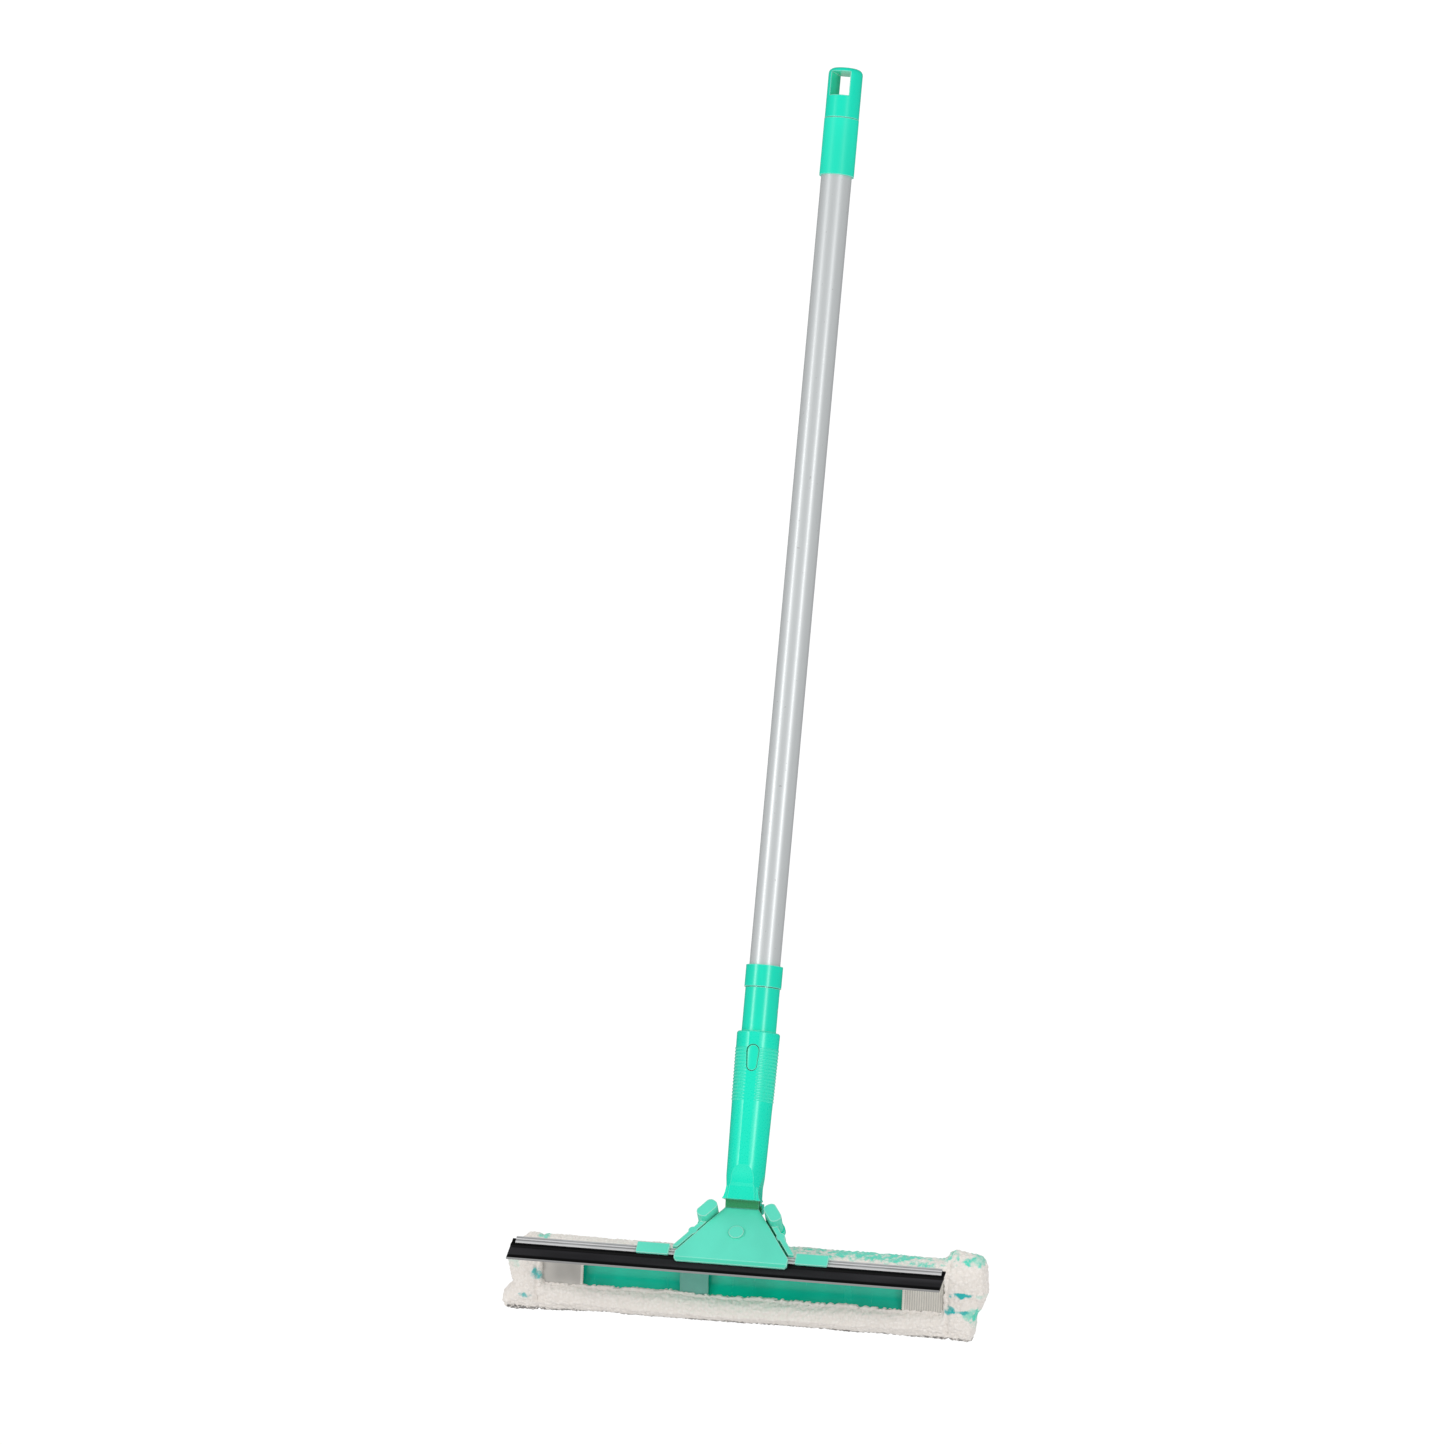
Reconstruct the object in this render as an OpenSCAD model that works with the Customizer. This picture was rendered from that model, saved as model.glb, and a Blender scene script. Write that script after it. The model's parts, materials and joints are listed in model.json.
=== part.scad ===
// Window cleaning squeegee on a two-section telescopic pole, with a microfibre washer behind
// the blade. Millimetres. +Z runs up the pole, -Y is the squeegee side, +Y the washer side.
// The origin is the middle of the hang slot's upper face, where the tool bears on its hook.

/* [Pole tubes] */
// Outside diameter of the outer tube
tube_od = 22; // [20:0.5:24]
// Wall of both tubes
tube_wall = 0.7; // [0.6:0.1:0.9]
// Length of outer tube left bare between the grip sleeve and the collar
bare_tube_len = 568; // [460:1:690]
// Radial space between the two tubes
tube_gap = 0.8; // [0.7:0.05:1.2]
// Space left above the twist lock when the pole is closed
stow_gap = 60.9; // [20:0.1:150]

/* [Pole fittings] */
// Wall of the hang cap over the tube
cap_wall = 1.25; // [0.8:0.05:2.5]
// Length of the hang cap
cap_len = 37.1; // [34:0.1:44]
// Rounding of the cap's top edge
cap_round = 4; // [2:0.5:5]
// Width of the hang slot
slot_w = 14.3; // [10:0.1:16]
// Height of the hang slot
slot_h = 17.2; // [12:0.1:18]
// Material above the hang slot
slot_drop = 4; // [3:0.1:6]
// Turn of the hang slot about the pole
cap_turn = -8; // [-20:1:20]
// Wall of the grip sleeve
sleeve_wall = 1.4; // [1:0.05:2.5]
// Length of the grip sleeve
sleeve_len = 41.5; // [30:0.5:60]
// Wall of the collar at the outer tube's lower end
collar_wall = 2.1; // [1.4:0.05:3]
// Length of that collar
collar_len = 15.6; // [12:0.1:20]
// Wall of the pole tip over the inner tube
tip_wall = 2.75; // [2:0.05:3.2]
// Length of pole tip seen between the collar and the handle
tip_len = 31.6; // [24:0.1:40]
// Length of the tip's spigot inside the handle
spigot_len = 60; // [48:1:70]

/* [Handle] */
// Wall of the handle's rim outside the pole tip
handle_wall = 3.05; // [2.5:0.05:4]
// Loss of diameter from the handle's rim to the neck
handle_taper = 3.4; // [1:0.1:5]
// Handle length from the rim to the neck
handle_len = 108; // [90:1:130]
// Number of grip ribs
rib_count = 16; // [8:1:18]
// Spacing of the grip ribs
rib_pitch = 2.4; // [2:0.1:2.6]
// Height of the grip ribs
rib_rise = 0.45; // [0.2:0.05:0.6]
// Depth of the flat strip down the handle's front, where the ribs end
strip_depth = 0.4; // [0.2:0.05:0.5]
// Length of the catch window
window_len = 19.2; // [16:0.1:21]
// Width of the catch window
window_w = 9.4; // [8:0.1:10]
// Depth of the flats at the neck's sides
neck_side_flat = 1.8; // [1:0.1:2.6]
// Depth of the flats at the neck's front and back
neck_face_flat = 3.1; // [2.6:0.1:3.6]

/* [Squeegee head] */
// Forward lean of the blade from the pole
blade_lean = 33; // [26:1:38]
// Half-width of the front jaw at its top
jaw_top_half = 10.5; // [9:0.1:11]
// Half-width of the front jaw at its foot
jaw_foot_half = 40.7; // [37:0.1:43]
// Height of the front jaw along the lean
jaw_h = 51.2; // [50:0.1:54]
// Height of the jaw's straight lower band
jaw_band = 7.3; // [6.5:0.1:9]
// Thickness of the front jaw
jaw_t = 3; // [2.5:0.1:3.5]
// Diameter of the jaw pin's head
pin_head_od = 10.6; // [9:0.1:12]
// Swing clearance between the jaw's edges and the levers
lever_gap = 1.9; // [1.8:0.1:2.2]
// Width of a lever's arm
lever_arm_w = 3.6; // [3:0.1:4]

/* [Blade] */
// Length of the aluminium channel
channel_len = 307; // [250:1:380]
// Sideways set of the channel in the head
blade_shift = -3; // [-6:0.1:6]
// Height of the channel
channel_h = 5.8; // [4.6:0.1:6.4]
// Thickness of the channel, front to back
channel_t = 3.3; // [3.1:0.1:3.5]
// Length of the rubber past each end of the channel
rubber_overhang = 2.5; // [1:0.1:4]
// Height of rubber below the channel
rubber_drop = 13.4; // [12.5:0.1:15]
// Length of each channel clip
clip_len = 23.4; // [16:0.1:30]
// Height of each channel clip
clip_h = 9.4; // [8:0.1:10]

/* [Washer] */
// Backward lean of the washer from the pole
washer_lean = 14; // [10:1:20]
// Overall length of the washer
washer_len = 348; // [310:1:420]
// Height of the washer along its lean
washer_h = 60; // [56:0.5:66]
// Thickness of the washer, front to back
washer_t = 23.5; // [21:0.5:28]
// Length of the T-bar
tbar_len = 291; // [250:1:300]
// Height of the T-bar
tbar_h = 32; // [30:0.5:34]
// Depth of the T-bar
tbar_t = 7; // [6:0.1:8]
// Width of each knitted end pocket
pocket_w = 29; // [20:0.5:34]
// Width of the closing strap
strap_w = 20.6; // [15:0.1:25]

/* [Clearances] */
// Radial clearance of turning and sliding fits
run_fit = 0.06; // [0.03:0.01:0.09]
// Radial clearance of parts that are pressed or glued together
seat_fit = 0.04; // [0.02:0.01:0.08]
// Gap between parts that only pass each other
pass_gap = 0.35; // [0.3:0.05:0.5]

/* [Hidden] */
$fn = 64;

// Colours
mint = "#00dcb4";
pale_mint = "#6ee0c3";
deep_green = "#009e78";
pole_grey = "#d3d9dc";
steel = "#b9bdc0";
nylon = "#e8e6dd";
alloy = "#c4c8ca";
black_rubber = "#1c1b1e";
fleece = "#dedad1";
knit = "#c2beb6";
strap_grey = "#6d9a90";

// Radii along the pole
tube_r = tube_od / 2;
tube_bore_r = tube_r - tube_wall;
inner_r = tube_bore_r - tube_gap;
inner_bore_r = inner_r - tube_wall;
cap_r = tube_r + cap_wall;
sleeve_r = tube_r + sleeve_wall;
collar_r = tube_r + collar_wall;
tip_r = inner_r + tip_wall;
rim_r = tip_r + handle_wall;
handle_end_r = rim_r - handle_taper / 2;
neck_half_w = handle_end_r - neck_side_flat;
neck_half_depth = handle_end_r - neck_face_flat;
neck_corner_r = handle_end_r + 0.8;

// Heights along the pole, from the cap down
z_top = slot_drop;
z_cap_end = z_top - cap_len;
z_sleeve_end = z_cap_end - sleeve_len;
z_collar_top = z_sleeve_end - bare_tube_len;
z_collar_end = z_collar_top - collar_len;
z_tip_top = z_collar_end - pass_gap;
z_rim = z_tip_top - tip_len;
z_handle_end = z_rim - handle_len;
neck_len = 11.4;
z_neck_end = z_handle_end - neck_len;

// Cap and tube ends
slot_floor = 3;
z_tube_top = -slot_h - slot_floor;
cap_plug_len = 18;
z_plug_end = z_tube_top - cap_plug_len;
seam_gap = 0.3;
collar_floor = 3;
bush_flange = 1;
bush_len = 30;
z_tube_end = z_collar_end + collar_floor + bush_flange;
tip_seat = 2;
tip_rivet_r = 1.5;
z_inner_end = z_rim + tip_seat;

// Twist lock inside the outer tube
plug_len = 22;
spindle_flange = 3;
spindle_len = 36;
stop_t = 2;
expander_len = 26;
expander_floor = 4;
expander_wall = 1.8;
cone_taper = 2;
cone_len = 18;
cone_wall = 2.09;
z_lock_top = z_plug_end - stow_gap;
z_flange_top = z_lock_top - 2 * stop_t - spindle_len;
z_inner_top = z_flange_top - spindle_flange;
z_expander = z_flange_top + pass_gap;
z_cone = z_expander + expander_floor + 1;
expander_r = tube_bore_r - run_fit;
cone_mouth_r = expander_r - expander_wall;
spindle_r = cone_mouth_r - cone_taper - pass_gap - cone_wall;

// Catch button in the handle's window
window_drop = 9.4;
z_window = z_rim - window_drop - window_len / 2;
window_ratio = 0.82;
socket_r = tip_r - 0.25;
spigot_r = socket_r - 0.1;
spigot_wall = 3.1;
spigot_bore_r = spigot_r - spigot_wall;
socket_depth = spigot_len + 2;
catch_gap = 0.5;
catch_sink = 1.2;
catch_flange_t = 1.5;
catch_flange_lip = 1.2;
catch_flange_half = window_w / 2 + catch_flange_lip - 0.5;
catch_flange_y = -sqrt(pow(spigot_bore_r - 0.27, 2) - pow(catch_flange_half, 2));
catch_spring_len = 6.8;
catch_seat_y = catch_flange_y + catch_flange_t + catch_spring_len;

// Blade frame: its origin is the middle of the jaw's top edge on the jaw's front face.
// Locally Z runs up the jaw and Y runs from the front face back.
blade_y0 = -1;
blade_z0 = z_neck_end - 3.7;
jaw_slope = (jaw_foot_half - jaw_top_half) / (jaw_h - jaw_band);
slope_norm = sqrt(1 + jaw_slope * jaw_slope);
slope_angle = atan(jaw_slope);
core_inset = 1;
core_back = 9.4;
plate_back = 13.4;
channel_y = jaw_t + 0.15;
channel_top = jaw_h - 11.6;
channel_end = channel_top + channel_h;
lip_front = channel_y + channel_t + 0.15;
pin_drop = 24.6;
pin_r = 2.4;
blade_mid_y = channel_y + channel_t / 2;
clip_from = jaw_foot_half + 4.9;
clip_top = channel_top - 2.5;

// Levers on each side of the jaw
lever_front = 1.2;
pin_cover = 2.2;
lever_back = core_back - 0.2;
lever_in = lever_gap * slope_norm;
lever_out = (lever_gap + lever_arm_w) * slope_norm;
lever_start = 9;
pivot_drop = 24;
pivot_r = 1.25;
pivot_boss_r = 3.2;
pivot_x = jaw_edge(pivot_drop) + lever_in + 2.4;
toe_out = clip_from - 2.1;
tab_len = 16;
tab_w = 9;
tab_r = 3.6;
tab_drop = 8.2;
tab_front = -5.5;
tab_x = jaw_edge(tab_drop) + (lever_gap + tab_w / 2 - 0.2) * slope_norm;
spring_drop = 9;
spring_y = 6;
spring_r = 1.5;
spring_pocket_r = 1.9;
spring_seat_depth = 2;
spring_pocket_depth = 4;
spring_wire = 0.22;

// Washer frame: its origin is above the T-bar, in the plane of the T-bar's front rims.
// Locally Z runs up the rear limb and Y runs back.
washer_y0 = 9.5;
washer_z0 = z_neck_end + 1.4;
washer_top = 31;
tbar_top = washer_top + 12;
tbar_end = tbar_top + tbar_h;
trough_r = 17.2;
trough_floor = 1.8;
trough_depth = tbar_t - trough_floor;
sleeve_gap = 0.4;
roll_front = 3.5;
lower_lip = 3;
window_half = tbar_len / 2 - pocket_w + 1;
bracket_front = -9;
bracket_t = 5;
bracket_top = 2.4;
bracket_half = 13;
bracket_cap_h = 7;
tongue_half = 10;
tongue_t = 2.8;
tongue_end = tbar_top + 8;
lug_top = tbar_top - 2;
lug_end = tbar_top + 10;
lug_half = 14;
screw_x = 5;
screw_drop = 13;
screw_r = 1.5;
screw_head_r = 2.8;
screw_head_t = 1.8;
stub_depth = 5;
stub_end = 18;
screw_grip = 6;
strap_x = -35;
strap_t = 0.8;
pocket_t = 1.6;
pad_round = 9;
hood_rise = 8;
hood_w = 26;
hood_t = washer_t - 4;
hood_round = hood_t / 2 - 1.75;

// Half-width of the jaw at a distance down its slanted edge
function jaw_edge(drop) = jaw_top_half + jaw_slope * drop;

// Points of an arc about a centre
function arc(centre, radius, from, to, steps) = [
    for (i = [0 : steps])
        let (a = from + (to - from) * i / steps)
            [centre[0] + radius * cos(a), centre[1] + radius * sin(a)]
];

// Outline that is symmetric about the Y axis, from its right-hand side
function mirrored(side) = concat(side, [for (i = [len(side) - 1 : -1 : 0]) [-side[i][0], side[i][1]]]);

module tube(outer, inner, length) {
    difference() {
        cylinder(r = outer, h = length);
        translate([0, 0, -1]) cylinder(r = inner, h = length + 2);
    }
}

module rounded_rect(width, height, radius) {
    square([width - 2 * radius, height], center = true);
    square([width, height - 2 * radius], center = true);
    for (x = [-1, 1], y = [-1, 1])
        translate([x * (width / 2 - radius), y * (height / 2 - radius)]) circle(radius);
}

// Extrudes a flat X-Z outline back along Y, from y_from to y_to
module plate_y(y_from, y_to) {
    translate([0, y_to, 0]) rotate([90, 0, 0]) linear_extrude(y_to - y_from) children();
}

// Extrudes a Y-Z outline both ways along X
module bar_x(length) {
    rotate([90, 0, 90]) translate([0, 0, -length / 2]) linear_extrude(length) children();
}

// Cylinder along Y, from y_from to y_to
module rod_y(radius, y_from, y_to) {
    translate([0, y_to, 0]) rotate([90, 0, 0]) cylinder(r = radius, h = y_to - y_from);
}

module in_blade_frame() {
    translate([0, blade_y0, blade_z0]) rotate([-blade_lean, 0, 0]) children();
}

module in_washer_frame() {
    translate([0, washer_y0, washer_z0]) rotate([washer_lean, 0, 0]) children();
}

// Egg outline, wide end up: an arc at each end and the tangents between them
module egg(length, width) {
    big = width / 2;
    small = big * window_ratio;
    lean = asin((big - small) / (length - big - small));
    polygon(concat(
        arc([0, length / 2 - big], big, -lean, 180 + lean, 20),
        arc([0, small - length / 2], small, 180 + lean, 360 - lean, 16)
    ));
}

// Round-wire compression spring along Z: rings of points swept up a helix
module coil_spring(length, radius, wire, turns) {
    sides = 8;
    per_turn = 14;
    rings = turns * per_turn;
    rise = length - 2 * wire;
    points = [
        for (i = [0 : rings], j = [0 : sides - 1])
            let (a = 360 * i / per_turn, b = 360 * j / sides, r = radius - wire + wire * cos(b))
                [r * cos(a), r * sin(a), wire + rise * i / rings + wire * sin(b)]
    ];
    walls = [
        for (i = [0 : rings - 1], j = [0 : sides - 1])
            let (k = (j + 1) % sides)
                [i * sides + j, (i + 1) * sides + j, (i + 1) * sides + k, i * sides + k]
    ];
    first = [for (j = [0 : sides - 1]) j];
    last = [for (j = [sides - 1 : -1 : 0]) rings * sides + j];
    polyhedron(points, concat([first], walls, [last]), convexity = 10);
}

// ---- Outer pole ----

module cap_profile() {
    crown = 0.8;
    polygon(concat(
        [[0, z_cap_end], [cap_r, z_cap_end]],
        arc([cap_r - cap_round, z_top - cap_round - crown], cap_round, 0, 72, 8),
        [[0, z_top]]
    ));
}

module hang_cap() {
    color(mint) difference() {
        union() {
            difference() {
                rotate_extrude() cap_profile();
                translate([0, 0, z_cap_end - 1])
                    cylinder(r = tube_r + seat_fit, h = z_tube_top - z_cap_end + 1);
            }
            translate([0, 0, z_plug_end])
                cylinder(r = tube_bore_r - seat_fit, h = cap_plug_len + 1);
        }
        rotate([0, 0, cap_turn])
            translate([-slot_w / 2, -2 * cap_r, -slot_h]) cube([slot_w, 4 * cap_r, slot_h]);
        translate([0, 0, z_plug_end - 1]) cylinder(r = tube_bore_r - 3, h = cap_plug_len);
    }
}

module grip_sleeve() {
    color(mint) translate([0, 0, z_sleeve_end])
        tube(sleeve_r, tube_r + seat_fit, sleeve_len - seam_gap);
}

module outer_tube() {
    color(pole_grey) translate([0, 0, z_tube_end]) tube(tube_r, tube_bore_r, z_tube_top - z_tube_end);
}

module tube_collar() {
    color(mint) difference() {
        translate([0, 0, z_collar_end]) cylinder(r = collar_r, h = collar_len);
        translate([0, 0, z_collar_end + collar_floor])
            cylinder(r = tube_r + seat_fit, h = collar_len);
        translate([0, 0, z_collar_end - 1]) cylinder(r = inner_r + pass_gap, h = collar_len);
    }
}

module collar_bush() {
    bore = inner_r + run_fit;
    color(nylon) difference() {
        union() {
            translate([0, 0, z_collar_end + collar_floor])
                cylinder(r = tube_r - seat_fit, h = bush_flange);
            translate([0, 0, z_tube_end]) cylinder(r = tube_bore_r - seat_fit, h = bush_len);
        }
        translate([0, 0, z_collar_end]) cylinder(r = bore, h = bush_len + collar_len);
    }
}

// ---- Twist lock ----

module lock_expander() {
    mouth = expander_len - expander_floor;
    color(nylon) translate([0, 0, z_expander]) difference() {
        cylinder(r = expander_r, h = expander_len);
        translate([0, 0, -1]) cylinder(r = spindle_r + run_fit, h = expander_len);
        translate([0, 0, expander_floor])
            cylinder(r1 = cone_mouth_r - cone_taper, r2 = cone_mouth_r, h = mouth);
        for (a = [0, 120, 240])
            rotate([0, 0, a]) translate([0, -1, expander_floor + 2]) cube([tube_od, 2, expander_len]);
    }
}

// The cone's flank keeps the pass gap from the expander's flank at the same height
module lock_cone() {
    mouth = expander_len - expander_floor;
    lift = z_cone - z_expander - expander_floor;
    flank = cone_taper / mouth;
    low_r = cone_mouth_r - cone_taper + flank * lift - pass_gap;
    color(nylon) translate([0, 0, z_cone]) difference() {
        cylinder(r1 = low_r, r2 = low_r + flank * cone_len, h = cone_len);
        translate([0, 0, -1]) cylinder(r = spindle_r + run_fit, h = cone_len + 2);
    }
}

module lock_spindle() {
    color(nylon) union() {
        translate([0, 0, z_inner_top - plug_len]) cylinder(r = inner_bore_r - seat_fit, h = plug_len);
        translate([0, 0, z_inner_top]) cylinder(r = inner_r, h = spindle_flange);
        translate([0, 0, z_flange_top]) cylinder(r = spindle_r, h = spindle_len);
    }
}

module spindle_stop() {
    z_stop = z_flange_top + spindle_len;
    color(steel) union() {
        translate([0, 0, z_stop]) cylinder(r = spindle_r + 2, h = stop_t);
        translate([0, 0, z_stop + stop_t]) cylinder(r = spindle_r - 1, h = stop_t);
    }
}

// ---- Inner pole and tip ----

module inner_tube() {
    color(steel) difference() {
        translate([0, 0, z_inner_end]) tube(inner_r, inner_bore_r, z_inner_top - z_inner_end);
        rivet_hole();
    }
}

module pole_tip() {
    spigot_end = z_rim - spigot_len;
    spigot_taper = 12;
    color(mint) difference() {
        union() {
            translate([0, 0, z_rim + 0.2]) cylinder(r = tip_r, h = tip_len - 0.2);
            translate([0, 0, spigot_end + spigot_taper])
                cylinder(r = spigot_r, h = spigot_len - spigot_taper + 1);
            translate([0, 0, spigot_end]) cylinder(r1 = spigot_r - 1.5, r2 = spigot_r, h = spigot_taper);
        }
        translate([0, 0, z_inner_end]) cylinder(r = inner_r + seat_fit, h = tip_len);
        difference() {
            translate([0, 0, spigot_end - 1])
                cylinder(r = spigot_bore_r, h = z_rim - tip_seat - spigot_end + 1);
            translate([-4, catch_seat_y, z_window - 4]) cube([8, spigot_bore_r, 8]);
        }
        translate([0, 0, z_window]) plate_y(-2 * tip_r, 0)
            egg(window_len - catch_gap, window_w - catch_gap);
        rivet_hole();
    }
}

module rivet_hole() {
    translate([0, 0, z_rim + tip_len / 2]) rotate([0, 90, 0])
        cylinder(r = tip_rivet_r + seat_fit, h = 4 * tip_r, center = true);
}

module tip_rivet() {
    color(steel) translate([0, 0, z_rim + tip_len / 2]) rotate([0, 90, 0])
        cylinder(r = tip_rivet_r, h = 2 * tip_r - 0.6, center = true);
}

module catch_button() {
    nose_r = rim_r - catch_sink;
    color(mint) translate([0, 0, z_window]) {
        intersection() {
            plate_y(-rim_r, catch_flange_y + 1)
                egg(window_len - 2 * catch_gap, window_w - 2 * catch_gap);
            cylinder(r = nose_r, h = window_len, center = true);
        }
        plate_y(catch_flange_y, catch_flange_y + catch_flange_t)
            square([2 * catch_flange_half, window_len + 2 * catch_flange_lip], center = true);
    }
}

module catch_spring() {
    color(steel) translate([0, catch_seat_y - 0.1, z_window]) rotate([90, 0, 0])
        coil_spring(catch_spring_len - 0.2, 2.6, 0.3, 5);
}

// ---- Squeegee head ----

// Outside of the handle with its ring of grip ribs
function handle_r(drop) = rim_r - (rim_r - handle_end_r) * drop / handle_len;

module handle_profile() {
    rib_from = 11.5;
    chamfer = 0.8;
    ribs = [
        for (i = [0 : rib_count - 1])
            let (d = rib_from + i * rib_pitch, r = handle_r(d))
                each [
                    [r, z_rim - d],
                    [r + rib_rise, z_rim - d - rib_pitch * 0.25],
                    [r + rib_rise, z_rim - d - rib_pitch * 0.5],
                    [r, z_rim - d - rib_pitch * 0.75]
                ]
    ];
    polygon(concat(
        [[0, z_rim], [handle_r(0) - chamfer, z_rim], [handle_r(0), z_rim - chamfer]],
        ribs,
        [[handle_end_r, z_handle_end], [neck_corner_r, z_neck_end], [0, z_neck_end]]
    ));
}

// Right-hand side of an outline that runs beside the jaw at a set distance
function beside_jaw(from, to, offset) = [[jaw_edge(from) + offset, -from], [jaw_edge(to) + offset, -to]];

module tab_outline(grow) {
    translate([tab_x, -tab_drop]) rotate([0, 0, slope_angle])
        rounded_rect(tab_w + 2 * grow, tab_len + 2 * grow, tab_r + grow);
}

module back_plate_outline() {
    shoulder = 14;
    flare_r = 9;
    plate_out = lever_out + 0.6;
    polygon(mirrored(concat(
        [[neck_half_w, 9]],
        arc([neck_half_w + flare_r, 3], flare_r, 180, 232, 6),
        beside_jaw(shoulder, channel_top - 3.5, plate_out),
        [[jaw_foot_half - 0.5, -channel_top + 1], [jaw_foot_half - 0.5, 2 - jaw_h + 1], [0, 2 - jaw_h + 1]]
    )));
    for (side = [0, 1]) mirror([side, 0]) tab_outline(1.2);
}

module front_limb() {
    plate_y(core_back, plate_back) back_plate_outline();
    plate_y(jaw_t, core_back) polygon(mirrored([
        [jaw_top_half - core_inset, 8], [jaw_top_half - core_inset, 0],
        [jaw_edge(channel_top - 6) - core_inset, 6 - channel_top],
        [jaw_edge(channel_top - 6) - core_inset, 0.6 - channel_top], [0, 0.6 - channel_top]
    ]));
    plate_y(lip_front, core_back + 0.5) polygon(mirrored([
        [jaw_foot_half - 1, -channel_top - 0.4], [jaw_foot_half - 1, 3 - jaw_h], [0, 3 - jaw_h]
    ]));
}

module rear_stub() {
    translate([-bracket_half + 1, bracket_front - stub_depth, -stub_end])
        cube([2 * bracket_half - 2, stub_depth, stub_end - bracket_top + 6]);
}

// Space for the rear bracket behind the stub, and for the jaw in front of the core
module bracket_space() {
    room = 40;
    in_washer_frame() translate([-room, bracket_front, -room - bracket_top + 0.1]) cube([2 * room, room, room]);
}

module jaw_space() {
    in_blade_frame() translate([-jaw_foot_half, -0.6, -jaw_h])
        cube([2 * jaw_foot_half, jaw_t + 0.6, jaw_h + pass_gap]);
}

// Silhouette that narrows the round handle to the neck's flats
function neck_side(half) = [
    [2 * rim_r, z_rim + 1], [2 * rim_r, z_handle_end + 40],
    [rim_r + 1, z_handle_end + 22], [half, z_handle_end - 2], [half, z_neck_end - 1]
];

module handle() {
    difference() {
        intersection() {
            rotate_extrude() handle_profile();
            plate_y(-2 * rim_r, 2 * rim_r) polygon(mirrored(neck_side(neck_half_w)));
            bar_x(4 * rim_r) polygon(mirrored(neck_side(neck_half_depth)));
        }
        bar_x(4 * rim_r) polygon([
            [strip_depth - handle_r(0), z_rim + 1], [strip_depth - handle_end_r, z_handle_end],
            [-2 * rim_r, z_handle_end], [-2 * rim_r, z_rim + 1]
        ]);
    }
}

// Shoulders that widen the neck just above the jaw
module neck_flare() {
    flare_out = 2;
    plate_y(1.2 - neck_half_depth, 3) polygon(mirrored([
        [neck_half_w - 3, z_neck_end + 9], [neck_half_w - 0.4, z_neck_end + 9],
        [neck_half_w + 0.2, z_neck_end + 4.6], [neck_half_w + 1, z_neck_end + 1.8],
        [neck_half_w + flare_out, z_neck_end], [neck_half_w - 3, z_neck_end]
    ]));
}

// Fills the fork between the neck and the two limbs
module fork() {
    bar_x(2 * neck_half_w - 1) polygon([
        [-1, z_neck_end + 1], [neck_half_depth, z_neck_end + 1], [neck_half_depth, z_neck_end - 4],
        [5, z_neck_end - 16], [0, z_neck_end - 14]
    ]);
}

module thumb_hollow() {
    hollow_r = 26;
    hollow_w = 17;
    hollow_depth = 2.6;
    hollow_z = z_handle_end + 2;
    intersection() {
        translate([0, -handle_end_r - hollow_r + hollow_depth, hollow_z]) rotate([0, 90, 0])
            cylinder(r = hollow_r, h = hollow_w, center = true, $fn = 128);
        translate([-hollow_w / 2, -2 * rim_r, z_neck_end + 1]) cube([hollow_w, 2 * rim_r, 40]);
    }
}

module head_body() {
    lever_hole_r = pivot_r + seat_fit;
    color(mint) difference() {
        union() {
            handle();
            neck_flare();
            fork();
            in_blade_frame() front_limb();
            in_washer_frame() rear_stub();
        }
        translate([0, 0, z_rim - socket_depth]) cylinder(r = socket_r, h = socket_depth + 1);
        translate([0, 0, z_window]) plate_y(-2 * rim_r, 0) egg(window_len, window_w);
        thumb_hollow();
        bracket_space();
        jaw_space();
        in_blade_frame() {
            translate([0, 0, -pin_drop]) rod_y(pin_r + seat_fit, 0, plate_back + 1);
            for (side = [-1, 1]) {
                translate([side * pivot_x, 0, -pivot_drop]) rod_y(lever_hole_r, 5, plate_back + 1);
                translate([side * (jaw_edge(spring_drop) - core_inset - spring_seat_depth), spring_y, -spring_drop])
                    rotate([0, side * 90, 0]) cylinder(r = spring_pocket_r, h = 10);
            }
        }
        in_washer_frame() for (side = [-1, 1])
            translate([side * screw_x, 0, -screw_drop])
                rod_y(screw_r + seat_fit, bracket_front - screw_grip - 0.5, bracket_front + 1);
    }
}

module jaw_outline() {
    corner = 1.6;
    polygon(mirrored([
        [jaw_top_half - corner, 0], [jaw_edge(corner), -corner],
        [jaw_foot_half, jaw_band - jaw_h], [jaw_foot_half, corner - jaw_h],
        [jaw_foot_half - corner, -jaw_h]
    ]));
}

module front_jaw() {
    bevel_h = 2.5;
    bevel_t = 1.7;
    color(pale_mint) in_blade_frame() difference() {
        plate_y(0, jaw_t) jaw_outline();
        bar_x(2 * jaw_foot_half + 2)
            polygon([[-1, bevel_h - jaw_h], [0, bevel_h - jaw_h], [bevel_t, -jaw_h], [bevel_t, -jaw_h - 1],
                [-1, -jaw_h - 1]]);
        translate([0, 0, -pin_drop]) rod_y(pin_r + seat_fit, -1, jaw_t + 1);
    }
}

module jaw_pin() {
    head_rise = 1.6;
    color(pale_mint) in_blade_frame() translate([0, 0, -pin_drop]) {
        rod_y(pin_head_od / 2, -head_rise, 0);
        rod_y(pin_r, -0.5, plate_back + 2.2);
    }
}

module jaw_retainer() {
    color(steel) in_blade_frame() translate([0, 0, -pin_drop]) difference() {
        rod_y(pin_r + 2.8, plate_back, plate_back + 1);
        rod_y(pin_r + seat_fit, plate_back - 1, plate_back + 2);
    }
}

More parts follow.
